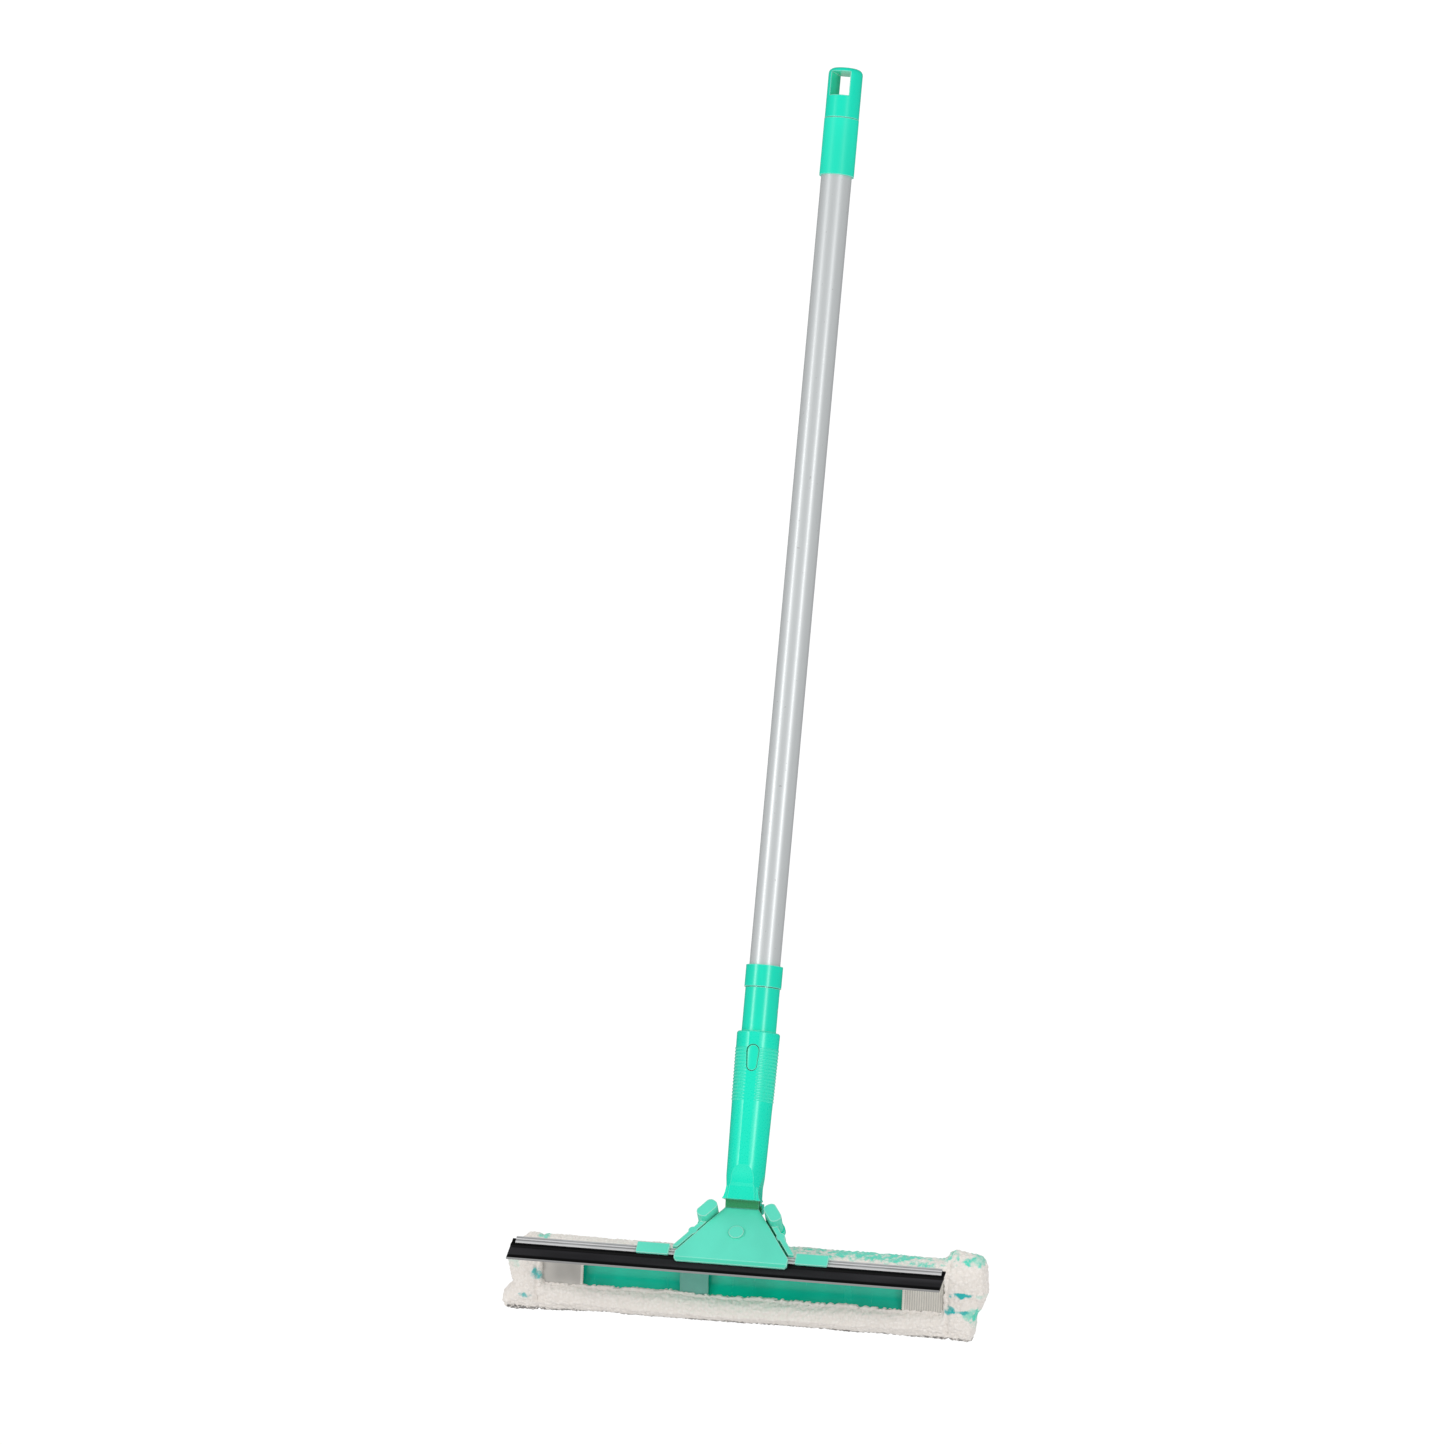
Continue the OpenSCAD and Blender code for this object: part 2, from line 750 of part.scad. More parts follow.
// Lever outline: an arm beside the jaw that ends in a toe over the channel
module lever_arm_outline() {
    toe_end = channel_top - 0.3;
    polygon([
        [jaw_edge(lever_start) + lever_in, -lever_start],
        [jaw_edge(lever_start) + lever_out, -lever_start],
        [toe_out, -(toe_out - lever_out - jaw_top_half) / jaw_slope],
        [toe_out, -toe_end],
        [jaw_edge(toe_end) + lever_in, -toe_end]
    ]);
    translate([pivot_x, -pivot_drop]) circle(pivot_boss_r);
}

module lever() {
    in_blade_frame() difference() {
        union() {
            plate_y(lever_front, lever_back) lever_arm_outline();
            plate_y(tab_front, lever_back) tab_outline(0);
        }
        translate([pivot_x, 0, -pivot_drop]) rod_y(pivot_r + run_fit, lever_front + pin_cover, lever_back + 1);
        translate([jaw_edge(spring_drop), spring_y, -spring_drop]) rotate([0, 90, 0])
            cylinder(r = spring_pocket_r, h = lever_in + spring_pocket_depth);
    }
}

module left_lever() {
    color(pale_mint) mirror([1, 0, 0]) lever();
}

module right_lever() {
    color(pale_mint) lever();
}

module lever_pins() {
    color(steel) in_blade_frame() for (side = [-1, 1])
        translate([side * pivot_x, 0, -pivot_drop]) rod_y(pivot_r, lever_front + pin_cover + 0.3, plate_back - 0.2);
}

module lever_spring() {
    from = jaw_edge(spring_drop) - core_inset - spring_seat_depth;
    length = spring_seat_depth + core_inset + lever_in + spring_pocket_depth;
    in_blade_frame() translate([from + 0.1, spring_y, -spring_drop]) rotate([0, 90, 0])
        coil_spring(length - 0.2, spring_r, spring_wire, 6);
}

module left_lever_spring() {
    color(steel) mirror([1, 0, 0]) lever_spring();
}

module right_lever_spring() {
    color(steel) lever_spring();
}

// Rear limb: a plate with two stiffening ribs that ends in the tongue for the T-bar
module rear_bracket() {
    back = bracket_front + bracket_t;
    rib_t = 1.6;
    shoulder_drop = tbar_top - 8;
    tongue_front = bracket_front + (bracket_t - tongue_t) / 2;
    color(mint) in_washer_frame() difference() {
        union() {
            plate_y(bracket_front, back) polygon(mirrored([
                [bracket_half, -bracket_top], [bracket_half - 2, -shoulder_drop], [0, -shoulder_drop]
            ]));
            translate([-bracket_half, bracket_front, -bracket_top - bracket_cap_h])
                cube([2 * bracket_half, bracket_t + 5, bracket_cap_h]);
            for (side = [-1, 1]) translate([side * 9.5 - rib_t / 2, back - 0.5, -washer_top + 2])
                cube([rib_t, 2.2, washer_top - 2 - bracket_top - bracket_cap_h + 0.5]);
            plate_y(tongue_front, tongue_front + tongue_t) polygon(mirrored([
                [tongue_half, 1 - shoulder_drop], [tongue_half, 1.5 - tongue_end],
                [tongue_half - 1.5, -tongue_end], [0, -tongue_end]
            ]));
        }
        for (side = [-1, 1]) translate([side * screw_x, 0, -screw_drop])
            rod_y(screw_r + 0.2, bracket_front - 1, back + 1);
    }
}

module bracket_screws() {
    back = bracket_front + bracket_t;
    color(steel) in_washer_frame() for (side = [-1, 1]) translate([side * screw_x, 0, -screw_drop])
        difference() {
            union() {
                rod_y(screw_head_r, back, back + screw_head_t);
                rod_y(screw_r, bracket_front - screw_grip, back + 0.5);
            }
            for (a = [0, 90]) rotate([0, a, 0])
                translate([-0.4, back + screw_head_t - 0.9, -1.8]) cube([0.8, 1.5, 3.6]);
        }
}

// ---- Blade ----

module channel_section() {
    bead_z = -channel_top - 2;
    difference() {
        translate([channel_y, -channel_end]) square([channel_t, channel_h]);
        translate([blade_mid_y, bead_z]) circle(1);
        translate([blade_mid_y - 0.7, -channel_end - 1]) square([1.4, channel_h - 1]);
        for (z = [1.3, 2.6]) translate([channel_y, -channel_top - z]) circle(0.22, $fn = 16);
    }
}

module blade_channel() {
    color(alloy) in_blade_frame() translate([blade_shift, 0, 0]) bar_x(channel_len) channel_section();
}

// Bead, neck and flat squeegee lip; the ends are cut a little out of square
module rubber_blade() {
    skew = 1.8;
    shoulder = channel_t / 2 - 0.15;
    end = channel_end + rubber_drop;
    half = channel_len / 2 + rubber_overhang;
    top = channel_top + 1.2;
    color(black_rubber) in_blade_frame() translate([blade_shift, 0, 0]) intersection() {
        bar_x(2 * half + 20) translate([blade_mid_y, -channel_end]) polygon(concat(
            arc([0, channel_h - 2], 0.9, -48, 228, 16),
            [
                [-0.6, -0.2], [-shoulder, -0.2], [-shoulder, -2.2], [-0.8, -3.2], [-0.7, -rubber_drop],
                [0.7, -rubber_drop], [0.8, -3.2], [shoulder, -2.2], [shoulder, -0.2], [0.6, -0.2]
            ]
        ));
        plate_y(channel_y - 1, channel_y + channel_t + 1) polygon([
            [-half, -top + 2], [half, -top + 2], [half, -top],
            [half - skew, -end - 0.1], [-half - skew, -end - 0.1], [-half, -top]
        ]);
    }
}

// Spring clip saddled over the channel's top
module channel_clip() {
    wall = 1.5;
    front = channel_y - wall - 0.1;
    back = channel_y + channel_t + wall + 0.1;
    corner = 1;
    in_blade_frame() difference() {
        translate([clip_from, 0, 0]) plate_y(front, back) translate([clip_len / 2, -clip_top - clip_h / 2])
            rounded_rect(clip_len, clip_h, corner);
        translate([clip_from - 1, channel_y - 0.1, -clip_top - clip_h - 1])
            cube([clip_len + 2, channel_t + 0.2, clip_h + 1 - (channel_top - clip_top) + 0.1]);
    }
}

module clip_left() {
    color(pale_mint) mirror([1, 0, 0]) channel_clip();
}

module clip_right() {
    color(pale_mint) channel_clip();
}

// ---- Washer ----

module t_bar_section() {
    trough_y = trough_depth - trough_r;
    difference() {
        translate([0, -tbar_end]) square([tbar_t, tbar_h]);
        translate([trough_y, -tbar_top - tbar_h / 2]) circle(trough_r, $fn = 128);
    }
}

module t_bar() {
    tongue_front = bracket_front + (bracket_t - tongue_t) / 2;
    lug_front = tongue_front - 2;
    slot_gap = 0.1;
    color(deep_green) in_washer_frame() difference() {
        union() {
            bar_x(tbar_len) t_bar_section();
            translate([-lug_half, lug_front, -lug_end])
                cube([2 * lug_half, -lug_front + 0.8, lug_end - lug_top]);
        }
        translate([-tongue_half - slot_gap, tongue_front - slot_gap, -tongue_end - slot_gap])
            cube([2 * (tongue_half + slot_gap), tongue_t + 2 * slot_gap, tbar_h]);
    }
}

// Sleeve of fleece round the T-bar: open in front, closed at both ends
module washer_pad() {
    half = washer_len / 2;
    middle = washer_top + washer_h / 2;
    color(fleece) in_washer_frame() difference() {
        union() {
            bar_x(washer_len) translate([washer_t / 2 - roll_front, -middle])
                rounded_rect(washer_t, washer_h, pad_round);
            translate([half - hood_w / 2, 0, 0]) bar_x(hood_w)
                translate([washer_t / 2 - roll_front, -washer_top - 2])
                    rounded_rect(hood_t, 2 * hood_rise + 4, hood_round);
        }
        translate([0, -roll_front - 1, 0]) {
            translate([-tbar_len / 2 - sleeve_gap, roll_front + 1 - sleeve_gap, -tbar_end - sleeve_gap])
                cube([tbar_len + 2 * sleeve_gap, tbar_t + 2 * sleeve_gap, tbar_h + 2 * sleeve_gap]);
            translate([-tbar_len / 2 - sleeve_gap, 0, -tbar_end + lower_lip])
                cube([tbar_len + 2 * sleeve_gap, roll_front + 2, tbar_h - lower_lip + sleeve_gap]);
        }
        translate([-lug_half - 1, -roll_front - 1, -tbar_top])
            cube([2 * lug_half + 2, roll_front + 1 + 1.2, tbar_top - lug_top + 1]);
    }
}

// Knitted pocket over one end of the T-bar
module end_pocket() {
    height = tbar_h - lower_lip - 2 * sleeve_gap;
    in_washer_frame() translate([window_half + pocket_w / 2 - 1, 0, 0])
        plate_y(-sleeve_gap - pocket_t, -sleeve_gap)
            translate([0, -tbar_top - height / 2 - sleeve_gap / 2]) square([pocket_w, height], center = true);
}

module pocket_left() {
    color(knit) mirror([1, 0, 0]) end_pocket();
}

module pocket_right() {
    color(knit) end_pocket();
}

module sleeve_strap() {
    height = tbar_h - lower_lip - 2 * sleeve_gap;
    color(strap_grey) in_washer_frame() translate([strap_x, 0, 0])
        plate_y(-sleeve_gap - strap_t, -sleeve_gap)
            translate([0, -tbar_top - height / 2 - sleeve_gap / 2]) square([strap_w, height], center = true);
}

hang_cap();
grip_sleeve();
outer_tube();
tube_collar();
collar_bush();
lock_expander();
lock_cone();
lock_spindle();
spindle_stop();
inner_tube();
pole_tip();
tip_rivet();
catch_button();
catch_spring();
head_body();
front_jaw();
jaw_pin();
jaw_retainer();
left_lever();
right_lever();
lever_pins();
left_lever_spring();
right_lever_spring();
rear_bracket();
bracket_screws();
blade_channel();
rubber_blade();
clip_left();
clip_right();
t_bar();
washer_pad();
pocket_left();
pocket_right();
sleeve_strap();
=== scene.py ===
"""Window squeegee and washer on a telescopic pole: finishes, soft goods and stage round the frame.

Metres throughout. +Z runs up the pole, -Y is the squeegee side and +Y the washer side.
"""

import json
import math

import bmesh
import bpy
import numpy as np
from mathutils import Matrix, Vector


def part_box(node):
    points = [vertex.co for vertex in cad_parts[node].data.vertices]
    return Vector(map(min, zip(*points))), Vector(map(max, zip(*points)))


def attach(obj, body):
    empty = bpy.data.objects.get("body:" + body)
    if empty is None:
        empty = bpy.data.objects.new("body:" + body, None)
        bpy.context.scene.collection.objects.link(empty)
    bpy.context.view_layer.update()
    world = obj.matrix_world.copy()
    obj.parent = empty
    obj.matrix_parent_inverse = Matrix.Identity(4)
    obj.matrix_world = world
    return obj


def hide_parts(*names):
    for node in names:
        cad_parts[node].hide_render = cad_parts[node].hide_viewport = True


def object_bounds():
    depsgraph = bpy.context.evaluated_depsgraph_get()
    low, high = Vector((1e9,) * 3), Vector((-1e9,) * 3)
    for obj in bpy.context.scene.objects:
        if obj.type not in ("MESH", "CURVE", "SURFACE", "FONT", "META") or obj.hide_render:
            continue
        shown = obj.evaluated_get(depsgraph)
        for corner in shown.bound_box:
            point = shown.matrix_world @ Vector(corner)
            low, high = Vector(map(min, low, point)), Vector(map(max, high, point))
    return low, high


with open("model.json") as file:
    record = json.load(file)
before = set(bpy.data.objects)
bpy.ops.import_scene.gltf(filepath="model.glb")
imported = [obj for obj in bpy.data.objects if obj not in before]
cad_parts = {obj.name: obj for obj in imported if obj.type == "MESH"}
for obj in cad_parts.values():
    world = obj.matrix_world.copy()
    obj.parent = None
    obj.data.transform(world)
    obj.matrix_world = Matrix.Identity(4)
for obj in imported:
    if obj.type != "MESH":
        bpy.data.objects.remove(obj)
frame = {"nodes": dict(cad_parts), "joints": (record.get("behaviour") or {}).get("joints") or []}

bl_info = {
    "name": "Pole squeegee looks",
    "version": (1, 0, 0),
    "blender": (4, 5, 0),
    "location": "View3D > Sidebar > Squeegee",
    "description": "Finishes and soft goods for a window squeegee with a washer",
    "category": "Object",
}

CAD_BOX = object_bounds()
MM = 0.001
ACROSS = Vector((1, 0, 0))

# Stage. Distances are in metres and angles in degrees; azimuths go round the pole from -Y to +X.
FLOOR_DROP = 0.62
FLOOR_RINGS = (0.02, 2.0, 8.0, 24.0)
STRIPS = {"left": -43.0, "right": 40.0}
STRIP_SIZE = (0.5, 1.0)
STRIP_DISTANCE, STRIP_RISE = 2.5, 0.12
GLOSSY_SHARE = 0.15
BACKDROP = 1.05
CAMERA_AZIMUTH, CAMERA_ELEVATION, CAMERA_ROLL = 12.0, -6.5, 5.23
CAMERA_DISTANCE, CAMERA_WIDTH = 8.0, 1.0255
CAMERA_AIM_Z, CAMERA_ASIDE = -0.4683, 0.0457

# How far the fleece's ends are drawn in, by depth below its shoulder, in millimetres
LEFT_END = ((0, 9, 19, 26, 35, 41, 47, 54, 60), (16, 10, 5, 3.5, 6, 8, 2, 0, 2))
RIGHT_END = ((-8, 0, 24, 31, 36, 40, 58), (1.5, 0, 0, 3, 5, 8, 9))
# Patches of yarn: place across and up from the fleece's shoulder, reach each way, all in
# millimetres, and strength
TINTS = (
    (92, 1, 60, 7, 0.95),
    (-146, -5, 5, 3, 0.8),
    (168, 0, 11, 4, 0.6),
    (-166, -26, 6, 4, 0.35),
    (171, -44, 5, 8, 0.5),
    (166, -39, 8, 4, 0.7),
    (172, -25.5, 4, 1.5, 0.4),
)
STITCHES = ((157.5, -25, 8, 1.9, 1.0), (150.5, -36, 4, 3.2, 0.8), (158, -37, 6, 1.6, 0.8))
FRONT_STITCHES = ((-149, -32, 4, 4, 0.8), (-157, -49, 4, 2.4, 0.8))

# Washer cloth
FLEECE_VOXEL, FLEECE_SWELL = 3.4 * MM, 2.2 * MM
FLEECE_SHOULDER = 8 * MM
SWELL_FRAMES = 20
CLOTH_THICKNESS = 0.5 * MM
CLOTH_GAP = 0.3 * MM
STITCH_PITCH = 1.4 * MM


def linear(red, green, blue):
    """Scene-linear colour of an 8-bit display colour: each channel follows the display's curve."""
    shown = np.array([red, green, blue], float) / 255
    low = shown <= 0.04045
    return tuple(np.where(low, shown / 12.92, ((shown + 0.055) / 1.055) ** 2.4))


# ---- Tipped frames -------------------------------------------------------------------------


class Lean:
    """Axes of a limb that is tipped about X: across the tool, back through the limb and up it."""

    def __init__(self, up):
        up = Vector(up).normalized()
        self.up = np.array(up)
        self.back = np.array(up.cross(ACROSS).normalized())
        self.axes = np.array([tuple(ACROSS), self.back, self.up])

    def read(self, points):
        """Distances across, back and up of points in the shared frame."""
        return points @ self.axes.T

    def place(self, points):
        """Points in the shared frame, from their distances across, back and up."""
        return points @ self.axes

    def box(self, node):
        """Lowest and highest distances across, back and up of a CAD node."""
        local = self.read(read_points(frame["nodes"][node].data))
        return local.min(0), local.max(0)


def joint_axis(name):
    return Vector(next(j["axis"] for j in frame["joints"] if j["name"] == name))


def blade_up():
    """Up the jaw plate: square to X and to the levers' axis, once that points to the back."""
    lever = joint_axis("right_lever_squeeze")
    return ACROSS.cross(lever if lever.y > 0 else -lever)


WASHER = Lean(-joint_axis("washer_pull_off"))
BLADE = Lean(blade_up())


# ---- Meshes --------------------------------------------------------------------------------


def read_vectors(items, name):
    """One three-part attribute of every item, as rows of a table."""
    values = np.empty(len(items) * 3, np.float32)
    items.foreach_get(name, values)
    return values.reshape(-1, 3).astype(float)


def read_points(mesh):
    return read_vectors(mesh.vertices, "co")


def write_points(mesh, points):
    mesh.vertices.foreach_set("co", points.astype(np.float32).ravel())
    mesh.update()


def add_object(name, mesh):
    """A new smooth-shaded object at the origin that holds the mesh."""
    mesh.shade_smooth()
    made = bpy.data.objects.new(name, mesh)
    bpy.context.scene.collection.objects.link(made)
    return made


def surface(name, points, around=False, ends=False):
    """Mesh of a grid of points, rows by columns: neighbouring points share a quad. around joins the
    last column to the first, and ends closes the first and last rows with a fan each."""
    rows, columns = points.shape[:2]
    index = np.arange(rows * columns).reshape(rows, columns)
    right = np.roll(index, -1, axis=1) if around else index[:, 1:]
    left = index if around else index[:, :-1]
    quads = np.stack([left[:-1], right[:-1], right[1:], left[1:]], -1).reshape(-1, 4)
    flat = points.reshape(-1, 3)
    faces = quads.tolist()
    if ends:
        flat = np.vstack([flat, points[0].mean(0), points[-1].mean(0)])
        first = np.stack([right[0], left[0], np.full(columns, rows * columns)], -1)
        last = np.stack([left[-1], right[-1], np.full(columns, rows * columns + 1)], -1)
        faces += first.tolist() + last.tolist()
    mesh = bpy.data.meshes.new(name)
    mesh.from_pydata(flat.tolist(), [], faces)
    mesh.validate()
    return mesh


def evaluated(made):
    """A copy of an object's mesh with its modifiers applied."""
    bpy.context.view_layer.update()
    graph = bpy.context.evaluated_depsgraph_get()
    return bpy.data.meshes.new_from_object(made.evaluated_get(graph))


def merged_copy(node):
    """A copy of a CAD node's mesh whose loose triangles are joined where their points meet."""
    mesh = frame["nodes"][node].data.copy()
    work = bmesh.new()
    work.from_mesh(mesh)
    bmesh.ops.remove_doubles(work, verts=work.verts, dist=1e-6)
    work.to_mesh(mesh)
    work.free()
    return mesh


def dress(made, material, body, slot, *replaced):
    """Gives a finished piece its material, its body and the CAD nodes it stands for. slot is not
    used.
    """
    made.data.materials.clear()
    made.data.materials.append(material)
    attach(made, body)
    if replaced:
        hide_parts(*replaced)
    return made


def paint(material, slot, *nodes):
    """Puts a material on CAD nodes that keep their shape."""
    for name in nodes:
        node = frame["nodes"][name]
        node.data.materials.clear()
        node.data.materials.append(material)


# ---- Noise ---------------------------------------------------------------------------------


def hashed(cells, seed):
    """A repeatable value from -1 to 1 for each whole-numbered cell."""
    mixed = cells[..., 0] * 73856093 ^ cells[..., 1] * 19349663 ^ cells[..., 2] * 83492791
    mixed = (mixed ^ (seed * 2654435761)) & 0xFFFFFFFF
    mixed = ((mixed ^ (mixed >> 15)) * 2246822519) & 0xFFFFFFFF
    mixed = ((mixed ^ (mixed >> 13)) * 3266489917) & 0xFFFFFFFF
    return ((mixed ^ (mixed >> 16)) & 0xFFFFFFFF) / 2147483647.5 - 1


def soft_noise(points, cell, seed):
    """Smooth noise from -1 to 1: each lattice corner's value, weighted by a smooth step of how near
    the point is to it along each axis."""
    place = points / cell
    base = np.floor(place).astype(np.int64)
    t = place - base
    t = t * t * (3 - 2 * t)
    total = np.zeros(len(points))
    for corner in np.ndindex(2, 2, 2):
        weight = np.prod(np.where(corner, t, 1 - t), axis=1)
        total += weight * hashed(base + corner, seed)
    return total


def tufts(points, cell, seed):
    """Height from 0 to 1 of packed round tufts: one less the squared distance to the nearest of the
    points that stand one in each cell, jittered."""
    place = points / cell
    base = np.floor(place).astype(np.int64)
    nearest = np.full(len(points), 9.0)
    for step in np.ndindex(3, 3, 3):
        cells = base + np.array(step) - 1
        jitter = np.stack([hashed(cells, seed + k) for k in range(3)], -1) * 0.38 + 0.5
        nearest = np.minimum(nearest, ((cells + jitter - place) ** 2).sum(1))
    return np.clip(1 - nearest, 0, 1)


# ---- Shader building -----------------------------------------------------------------------


class Signal:
    """One output in a material's tree. Arithmetic signs on it add Math nodes."""

    def __init__(self, tree, socket):
        self.tree, self.socket = tree, socket

    def _math(self, operation, first, second):
        node = self.tree.nodes.new("ShaderNodeMath")
        node.operation = operation
        for socket, value in zip(node.inputs, (first, second)):
            feed(self.tree, socket, value)
        return Signal(self.tree, node.outputs[0])

    def __add__(self, other):
        return self._math("ADD", self, other)

    __radd__ = __add__

    def __sub__(self, other):
        return self._math("SUBTRACT", self, other)

    def __rsub__(self, other):
        return self._math("SUBTRACT", other, self)

    def __mul__(self, other):
        return self._math("MULTIPLY", self, other)

    __rmul__ = __mul__

    def __pow__(self, other):
        return self._math("POWER", self, other)


def feed(tree, socket, value):
    """Links a signal to a socket, or sets the socket to a plain value."""
    if isinstance(value, Signal):
        tree.links.new(value.socket, socket)
    elif socket.type == "RGBA":
        socket.default_value = (*tuple(value)[:3], 1.0)
    else:
        socket.default_value = value


class Finish:
    """One procedural material while it is put together."""

    def __init__(self, name, constants):
        self.material = bpy.data.materials.new(name)
        self.material.use_nodes = True
        self.tree = self.material.node_tree
        self.shader = self.tree.nodes["Principled BSDF"]
        self.set(**constants)
        self.where = self.node("TexCoord", output="Object")

    def set(self, **values):
        """Feeds the surface shader's sockets. An underscore stands for a space in their names."""
        for name, value in values.items():
            feed(self.tree, self.shader.inputs[name.replace("_", " ")], value)
        return self

    def node(self, kind, settings=None, values=None, output=0):
        """Adds a node: its settings first, then its sockets. Returns one of its outputs."""
        made = self.tree.nodes.new("ShaderNode" + kind)
        for name, value in (settings or {}).items():
            setattr(made, name, value)
        for name, value in (values or {}).items():
            feed(self.tree, made.inputs[name], value)
        return Signal(self.tree, made.outputs[output])

    def along(self, direction):
        """Distance of the shaded point along a direction."""
        return self.node(
            "VectorMath",
            {"operation": "DOT_PRODUCT"},
            {0: self.where, 1: tuple(direction)},
            "Value",
        )

    def noise(self, scale, detail=2.0, stretch=(1, 1, 1), rough=0.5):
        """Noise of about one feature every 1/scale metres, drawn out along each axis by stretch."""
        spread = tuple(1 / s for s in stretch)
        place = self.node(
            "VectorMath", {"operation": "MULTIPLY"}, {0: self.where, 1: spread}
        )
        return self.node(
            "TexNoise",
            None,
            {"Vector": place, "Scale": scale, "Detail": detail, "Roughness": rough},
        )

    def ramp(self, signal, low, high, start=0.0, end=1.0):
        """Smooth rise from start to end as the signal goes from low to high."""
        return self.node(
            "MapRange",
            {"interpolation_type": "SMOOTHSTEP"},
            {
                "Value": signal,
                "From Min": low,
                "From Max": high,
                "To Min": start,
                "To Max": end,
            },
        )

    def band(self, signal, low, high, soft):
        """One between low and high, falling to nothing over soft on each side."""
        return self.ramp(signal, low - soft, low) * (
            1 - self.ramp(signal, high, high + soft)
        )

    def mix(self, first, second, factor):
        """Colour that goes from first to second."""
        return self.node(
            "Mix",
            {"data_type": "RGBA", "clamp_factor": True},
            {0: factor, 6: first, 7: second},
            2,
        )

    def bump(self, height, distance, strength=1.0, normal=None):
        """Normal of a fine relief that is distance high."""
        values = {"Strength": strength, "Distance": distance, "Height": height}
        if normal is not None:
            values["Normal"] = normal
        return self.node("Bump", None, values)


def tone(colour, gain):
    """A colour made lighter or darker, held under white."""
    return tuple(min(0.98, c * gain) for c in colour)


def moulding(
    name,
    colour,
    edge,
    roughness=0.3,
    texture=0.0,
    round_edge=1.0 * MM,
    edge_highlight=0.85,
    drift=0.06,
    shade=None,
):
    """Moulded plastic: slow flow marks in colour, a fine skin, and softly rounded edges with a
    painted highlight in the edge colour; the argument after round_edge sets its strength and drift
    the flow marks'. shade gives a darker colour of painted shade and the function of the finish
    that masks it."""
    made = Finish(name, {"IOR": 1.46, "Coat_Roughness": 0.2})
    flow = made.noise(28, 2, (1, 1, 3))
    skin = made.noise(900, 3)
    scuffs = made.noise(160, 4, (1, 1, 9), 0.62)
    rounded = made.node("Bevel", {"samples": 6}, {"Radius": round_edge})
    face = made.node("NewGeometry", output="Normal")
    turned = made.node(
        "VectorMath", {"operation": "DOT_PRODUCT"}, {0: rounded, 1: face}, "Value"
    )
    edges = made.ramp(turned, 0.998, 0.92)
    body = made.mix(
        tone(colour, 1 - drift), tone(colour, 1 + drift), made.ramp(flow, 0.3, 0.7)
    )
    if shade:
        body = made.mix(body, shade[0], shade[1](made))
    # Painted highlight: rounded edges are lightened towards the edge colour
    body = made.mix(body, edge, edges * edge_highlight)
    worn = made.ramp(scuffs, 0.6, 0.75)
    body = made.mix(body, tone(colour, 1.12), worn * 0.18)
    made.set(
        Base_Color=body,
        Roughness=roughness + 0.1 * skin + 0.12 * worn - 0.05,
        Coat_Weight=0.25 - 0.15 * worn,
        Normal=made.bump(skin, 0.02 * MM + texture, 0.35, rounded),
    )
    return made.material


# ---- User sizes and colours ----------------------------------------------------------------


def colour_property(name, description, red, green, blue):
    return bpy.props.FloatVectorProperty(
        name=name,
        description=description,
        subtype="COLOR",
        size=3,
        min=0,
        max=1,
        default=linear(red, green, blue),
    )


class SqueegeeColours(bpy.types.PropertyGroup):
    """Colours of the pieces."""

    mint: colour_property("Mint", "Pole fittings and head", 0, 232, 196)
    # Painted highlight: the three edge colours stand for light caught on rounded edges, not wear
    mint_edge_highlight: colour_property("Mint edge", "Worn edges of the mint parts", 176, 252, 234)
    # Painted shade in the recess under the neck
    recess_shade: colour_property("Recess", "Under the neck", 6, 140, 84)
    # Painted shade for the jaw's foot and slanted sides, and a deeper tone towards its top
    jaw_shade_tone: colour_property("Jaw depth", "Foot's bevel and upper part of the jaw", 8, 190, 150)
    pale_mint: colour_property("Pale mint", "Jaw, levers and clips", 98, 228, 200)
    pale_edge_highlight: colour_property("Pale mint edge", "Edges of those", 208, 250, 238)
    teal: colour_property("Teal", "T-bar", 0, 200, 168)
    teal_edge_highlight: colour_property("Teal edge", "Edges of the T-bar", 60, 226, 196)
    pole: colour_property("Pole", "Painted outer tube", 214, 218, 219)
    rubber: colour_property("Rubber", "Squeegee rubber", 3, 3, 4)
    # Painted reflection along the middle of the rubber, not dust
    rubber_sheen: colour_property("Rubber band", "Dusty middle of the rubber", 60, 59, 63)
    fleece: colour_property("Fleece", "Washer pile", 245, 239, 233)
    fleece_shade: colour_property("Fleece depth", "Between the tufts", 230, 222, 213)
    streak: colour_property("Fleece tint", "Coloured yarn in the pile", 88, 222, 196)
    stitch: colour_property("Fleece stitches", "Deeper yarn at the seams", 52, 188, 186)
    knit: colour_property("Knit", "Smooth end pocket", 206, 202, 196)
    rib: colour_property("Ribbed knit", "Ribbed end pocket", 232, 228, 219)
    strap: colour_property("Strap", "Strap over the T-bar", 112, 178, 164)


class WasherSizes(bpy.types.PropertyGroup):
    """Sizes of the washer's soft parts."""

    roll_proud: bpy.props.FloatProperty(
        name="Roll proud",
        description="How far the fleece stands in front of its seam line",
        default=2.2 * MM,
        min=0,
        max=5 * MM,
        unit="LENGTH",
    )
    lump: bpy.props.FloatProperty(
        name="Lumps",
        description="Height of the slow waves in the fleece",
        default=0.9 * MM,
        min=0,
        max=3 * MM,
        unit="LENGTH",
    )
    tuft: bpy.props.FloatProperty(
        name="Tufts",
        description="Height of the tufts",
        default=1.5 * MM,
        min=0,
        max=3 * MM,
        unit="LENGTH",
    )
    tuft_cell: bpy.props.FloatProperty(
        name="Tuft size",
        description="Spacing of the tufts",
        default=2.8 * MM,
        min=1 * MM,
        max=8 * MM,
        unit="LENGTH",
    )
    rib_pitch: bpy.props.FloatProperty(
        name="Rib pitch",
        description="Spacing of the ribs in the ribbed pocket",
        default=1.7 * MM,
        min=0.8 * MM,
        max=4 * MM,
        unit="LENGTH",
    )


